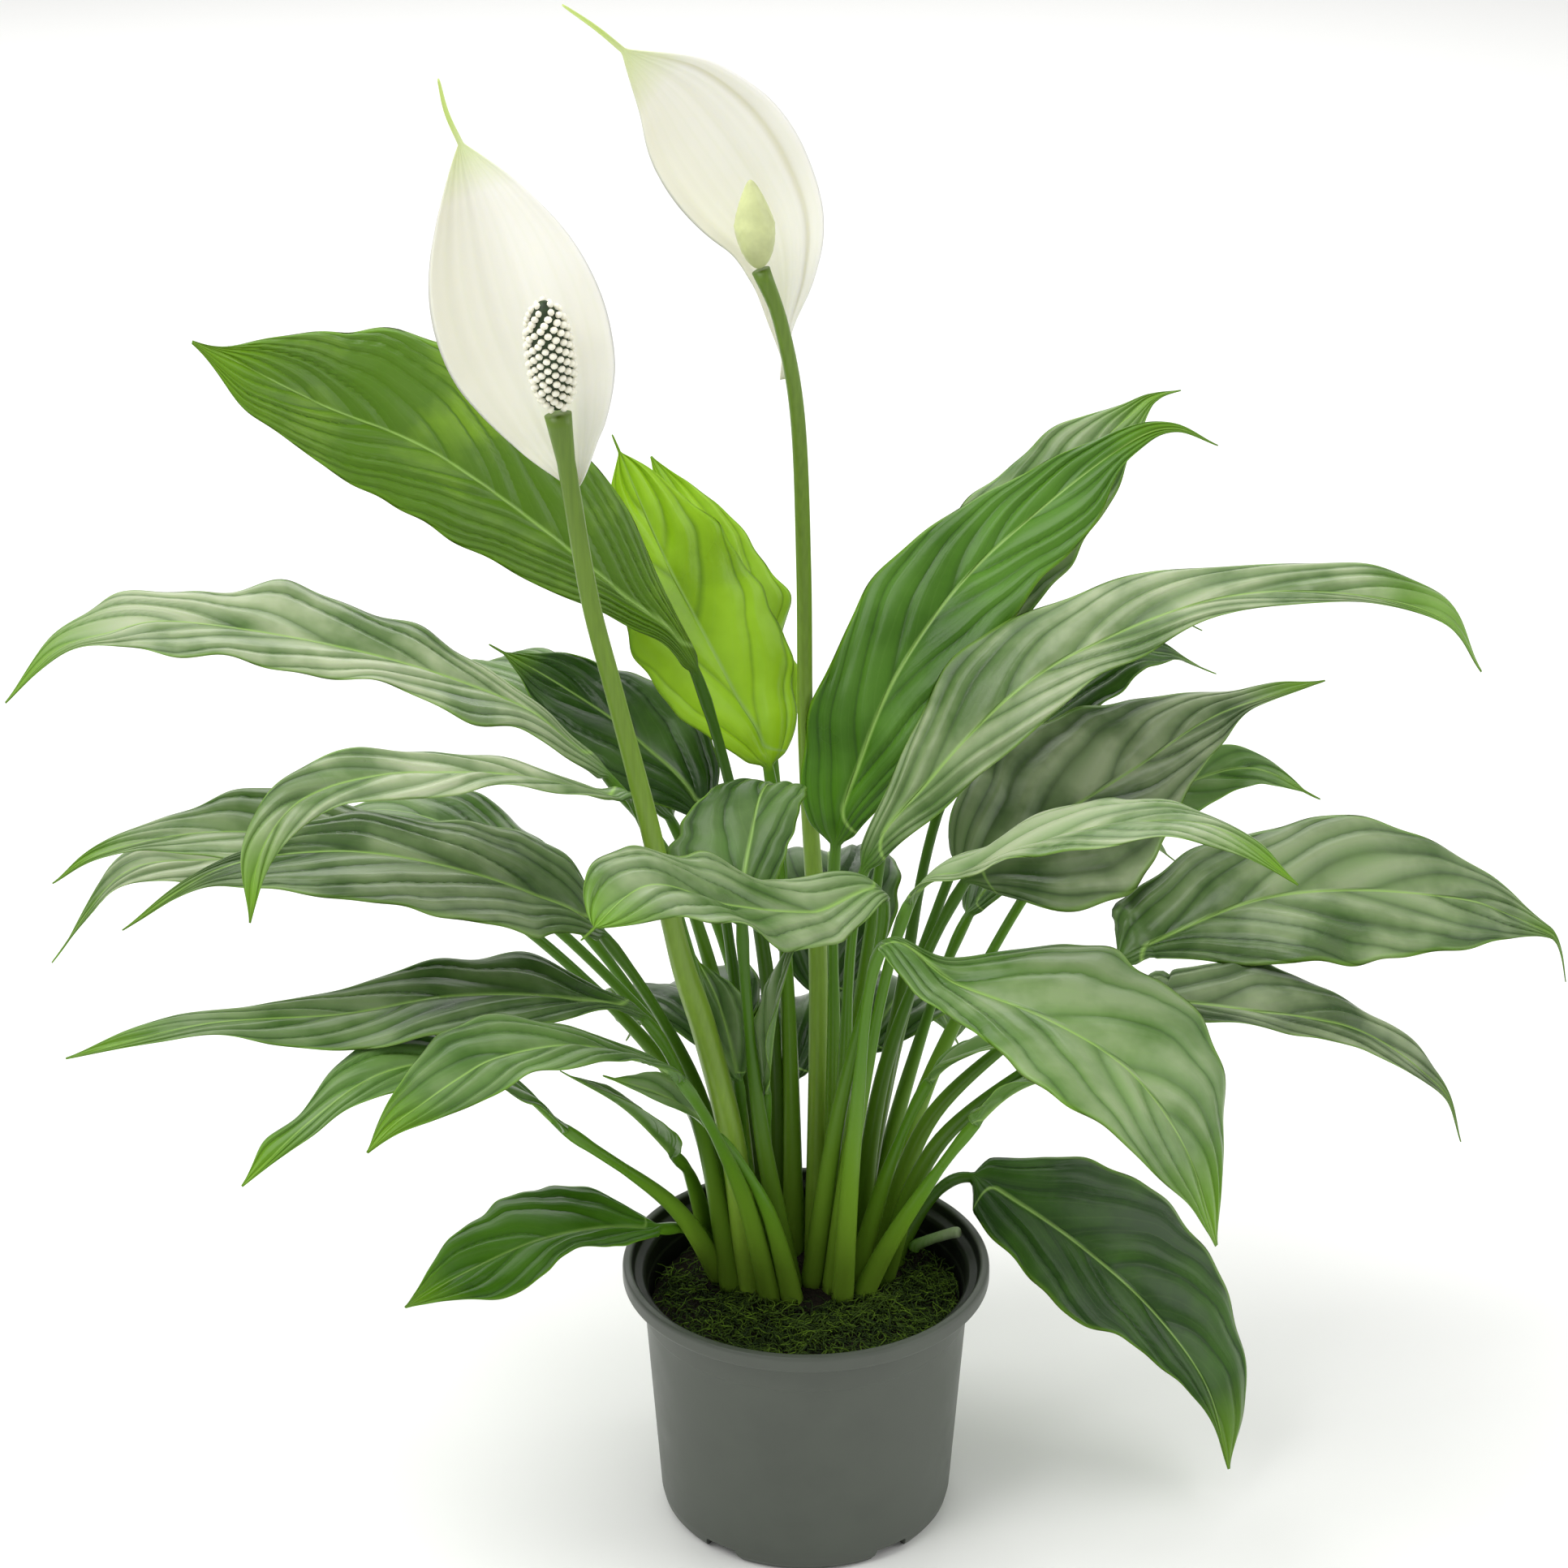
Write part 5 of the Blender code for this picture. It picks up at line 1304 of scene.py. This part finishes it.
    def young_spadix(self, looks):
        """A smooth unripe spadix, like a bud, that narrows to its top."""
        mesh, local, foot, top = self.spike(*SPADIX_RIGHT, "right_spadix", 64, 48)
        half = np.linalg.norm(top - foot) / 2
        up = local[:, 2]
        fat = (1.0 - 0.5 * np.clip(up, 0.0, 1.0) - 0.06 * np.clip(-up, 0.0, 1.0)) * YOUNG_RADIUS
        angle = np.arctan2(local[:, 1], local[:, 0])
        fat = fat * (1.0 + 0.02 * np.cos(3.0 * angle + 2.5 * up))
        beads = 0.07 * np.cos(14 * angle) * np.cos(26 * up) * (1.0 - up**4)
        local = local * np.stack([fat, fat, np.full_like(up, half)], axis=1)
        local[:, :2] *= (1.0 + beads / 3.0)[:, None]
        move_points(mesh, self.to_place(local, foot, top))
        shaded = tuple(c * 0.8 for c in looks.bud)
        bud = plain_plant_material("unripe_spadix", looks.bud, shaded, 140.0, 0.42)
        add_piece("right_spadix", mesh, bud, "spadix_young", "spadix_right")


class LILY_OT_stub(LilyOperator, bpy.types.Operator):
    """Adds the dry stub of a leaf stalk that was cut off"""

    bl_idname = "lily.stub"
    bl_label = "Cut stub"

    def execute(self, context):
        looks = context.scene.lily_leaf
        pale = tuple(0.5 * c + 0.25 for c in looks.sheath)
        radii = [(0.0, 2.0), (0.5, 1.7), (0.94, 1.9), (0.97, 1.85), (1.0, 1.5)]
        mesh = stalk_mesh("stub", STUB, radii, rings=40, sides=16)
        dry = stalk_material("dry_stub", looks.stalk, pale, 0.7)
        add_piece("cut_stalk_stub", mesh, dry, "cut_stub", "cut_stub")
        return {"FINISHED"}


class LILY_OT_stage(LilyOperator, bpy.types.Operator):
    """Sets up a pale floor, soft lights and the camera"""

    bl_idname = "lily.stage"
    bl_label = "Stage"

    def execute(self, context):
        looks = context.scene.lily_stage
        bm = bmesh.new()
        bmesh.ops.create_grid(bm, x_segments=1, y_segments=1, size=8.0)
        floor = bpy.data.objects.new("floor", mesh_from(bm, "floor", smooth=False))
        context.scene.collection.objects.link(floor)
        material, tree, output = new_material("pale_floor")
        shader = node(
            tree, "ShaderNodeBsdfPrincipled", {"Base Color": rgba(looks.floor), "Roughness": 0.9}
        )
        tree.links.new(shader.outputs[0], output.inputs["Surface"])
        floor.data.materials.append(material)

        world = bpy.data.worlds.new("soft_room")
        world.use_nodes = True
        background = world.node_tree.nodes["Background"]
        background.inputs["Color"].default_value = (1.0, 1.0, 1.0, 1.0)
        background.inputs["Strength"].default_value = looks.sky
        context.scene.world = world
        context.scene.view_settings.view_transform = "Standard"
        for name, setting, share, size, place in LAMPS:
            self.lamp(name, getattr(looks, setting) * share, size, place)

        camera = bpy.data.cameras.new("camera")
        camera.sensor_width = 36.0
        camera.lens = looks.lens
        camera.clip_start = 0.01
        holder = bpy.data.objects.new("camera", camera)
        context.scene.collection.objects.link(holder)
        holder.location = CAMERA_PLACE
        holder.rotation_euler = (math.radians(CAMERA_TILT), 0.0, 0.0)
        context.scene.camera = holder
        return {"FINISHED"}

    def lamp(self, name, power, size, place):
        light = bpy.data.lights.new(name, "AREA")
        light.energy = power
        light.size = size
        lamp = bpy.data.objects.new(name, light)
        bpy.context.scene.collection.objects.link(lamp)
        lamp.location = place
        aim = Vector(LIT_POINT) - Vector(place)
        lamp.rotation_euler = aim.to_track_quat("-Z", "Y").to_euler()


OPERATORS = (
    LILY_OT_stage, LILY_OT_pot, LILY_OT_soil, LILY_OT_moss, LILY_OT_leaves, LILY_OT_flowers, LILY_OT_stub,
)


class LILY_PT_panel(bpy.types.Panel):
    """Lists the steps and their settings"""

    bl_idname = "LILY_PT_panel"
    bl_label = "Peace Lily"
    bl_space_type = "VIEW_3D"
    bl_region_type = "UI"
    bl_category = "Peace Lily"

    def draw(self, context):
        for operator in OPERATORS:
            self.layout.operator(operator.bl_idname)
        for name, group in SETTINGS.items():
            box = self.layout.box()
            box.label(text=name)
            for setting in group.__annotations__:
                box.prop(getattr(context.scene, name), setting)


CLASSES = (*SETTINGS.values(), *OPERATORS, LILY_PT_panel)


def register():
    for item in CLASSES:
        bpy.utils.register_class(item)
    for name, group in SETTINGS.items():
        setattr(bpy.types.Scene, name, PointerProperty(type=group))


def unregister():
    for name in SETTINGS:
        delattr(bpy.types.Scene, name)
    for item in reversed(CLASSES):
        bpy.utils.unregister_class(item)


def main():
    register()
    bpy.ops.lily.stage()
    bpy.ops.lily.pot()
    bpy.ops.lily.soil()
    bpy.ops.lily.moss()
    bpy.ops.lily.leaves()
    bpy.ops.lily.flowers()
    bpy.ops.lily.stub()


if __name__ == "__main__":
    main()
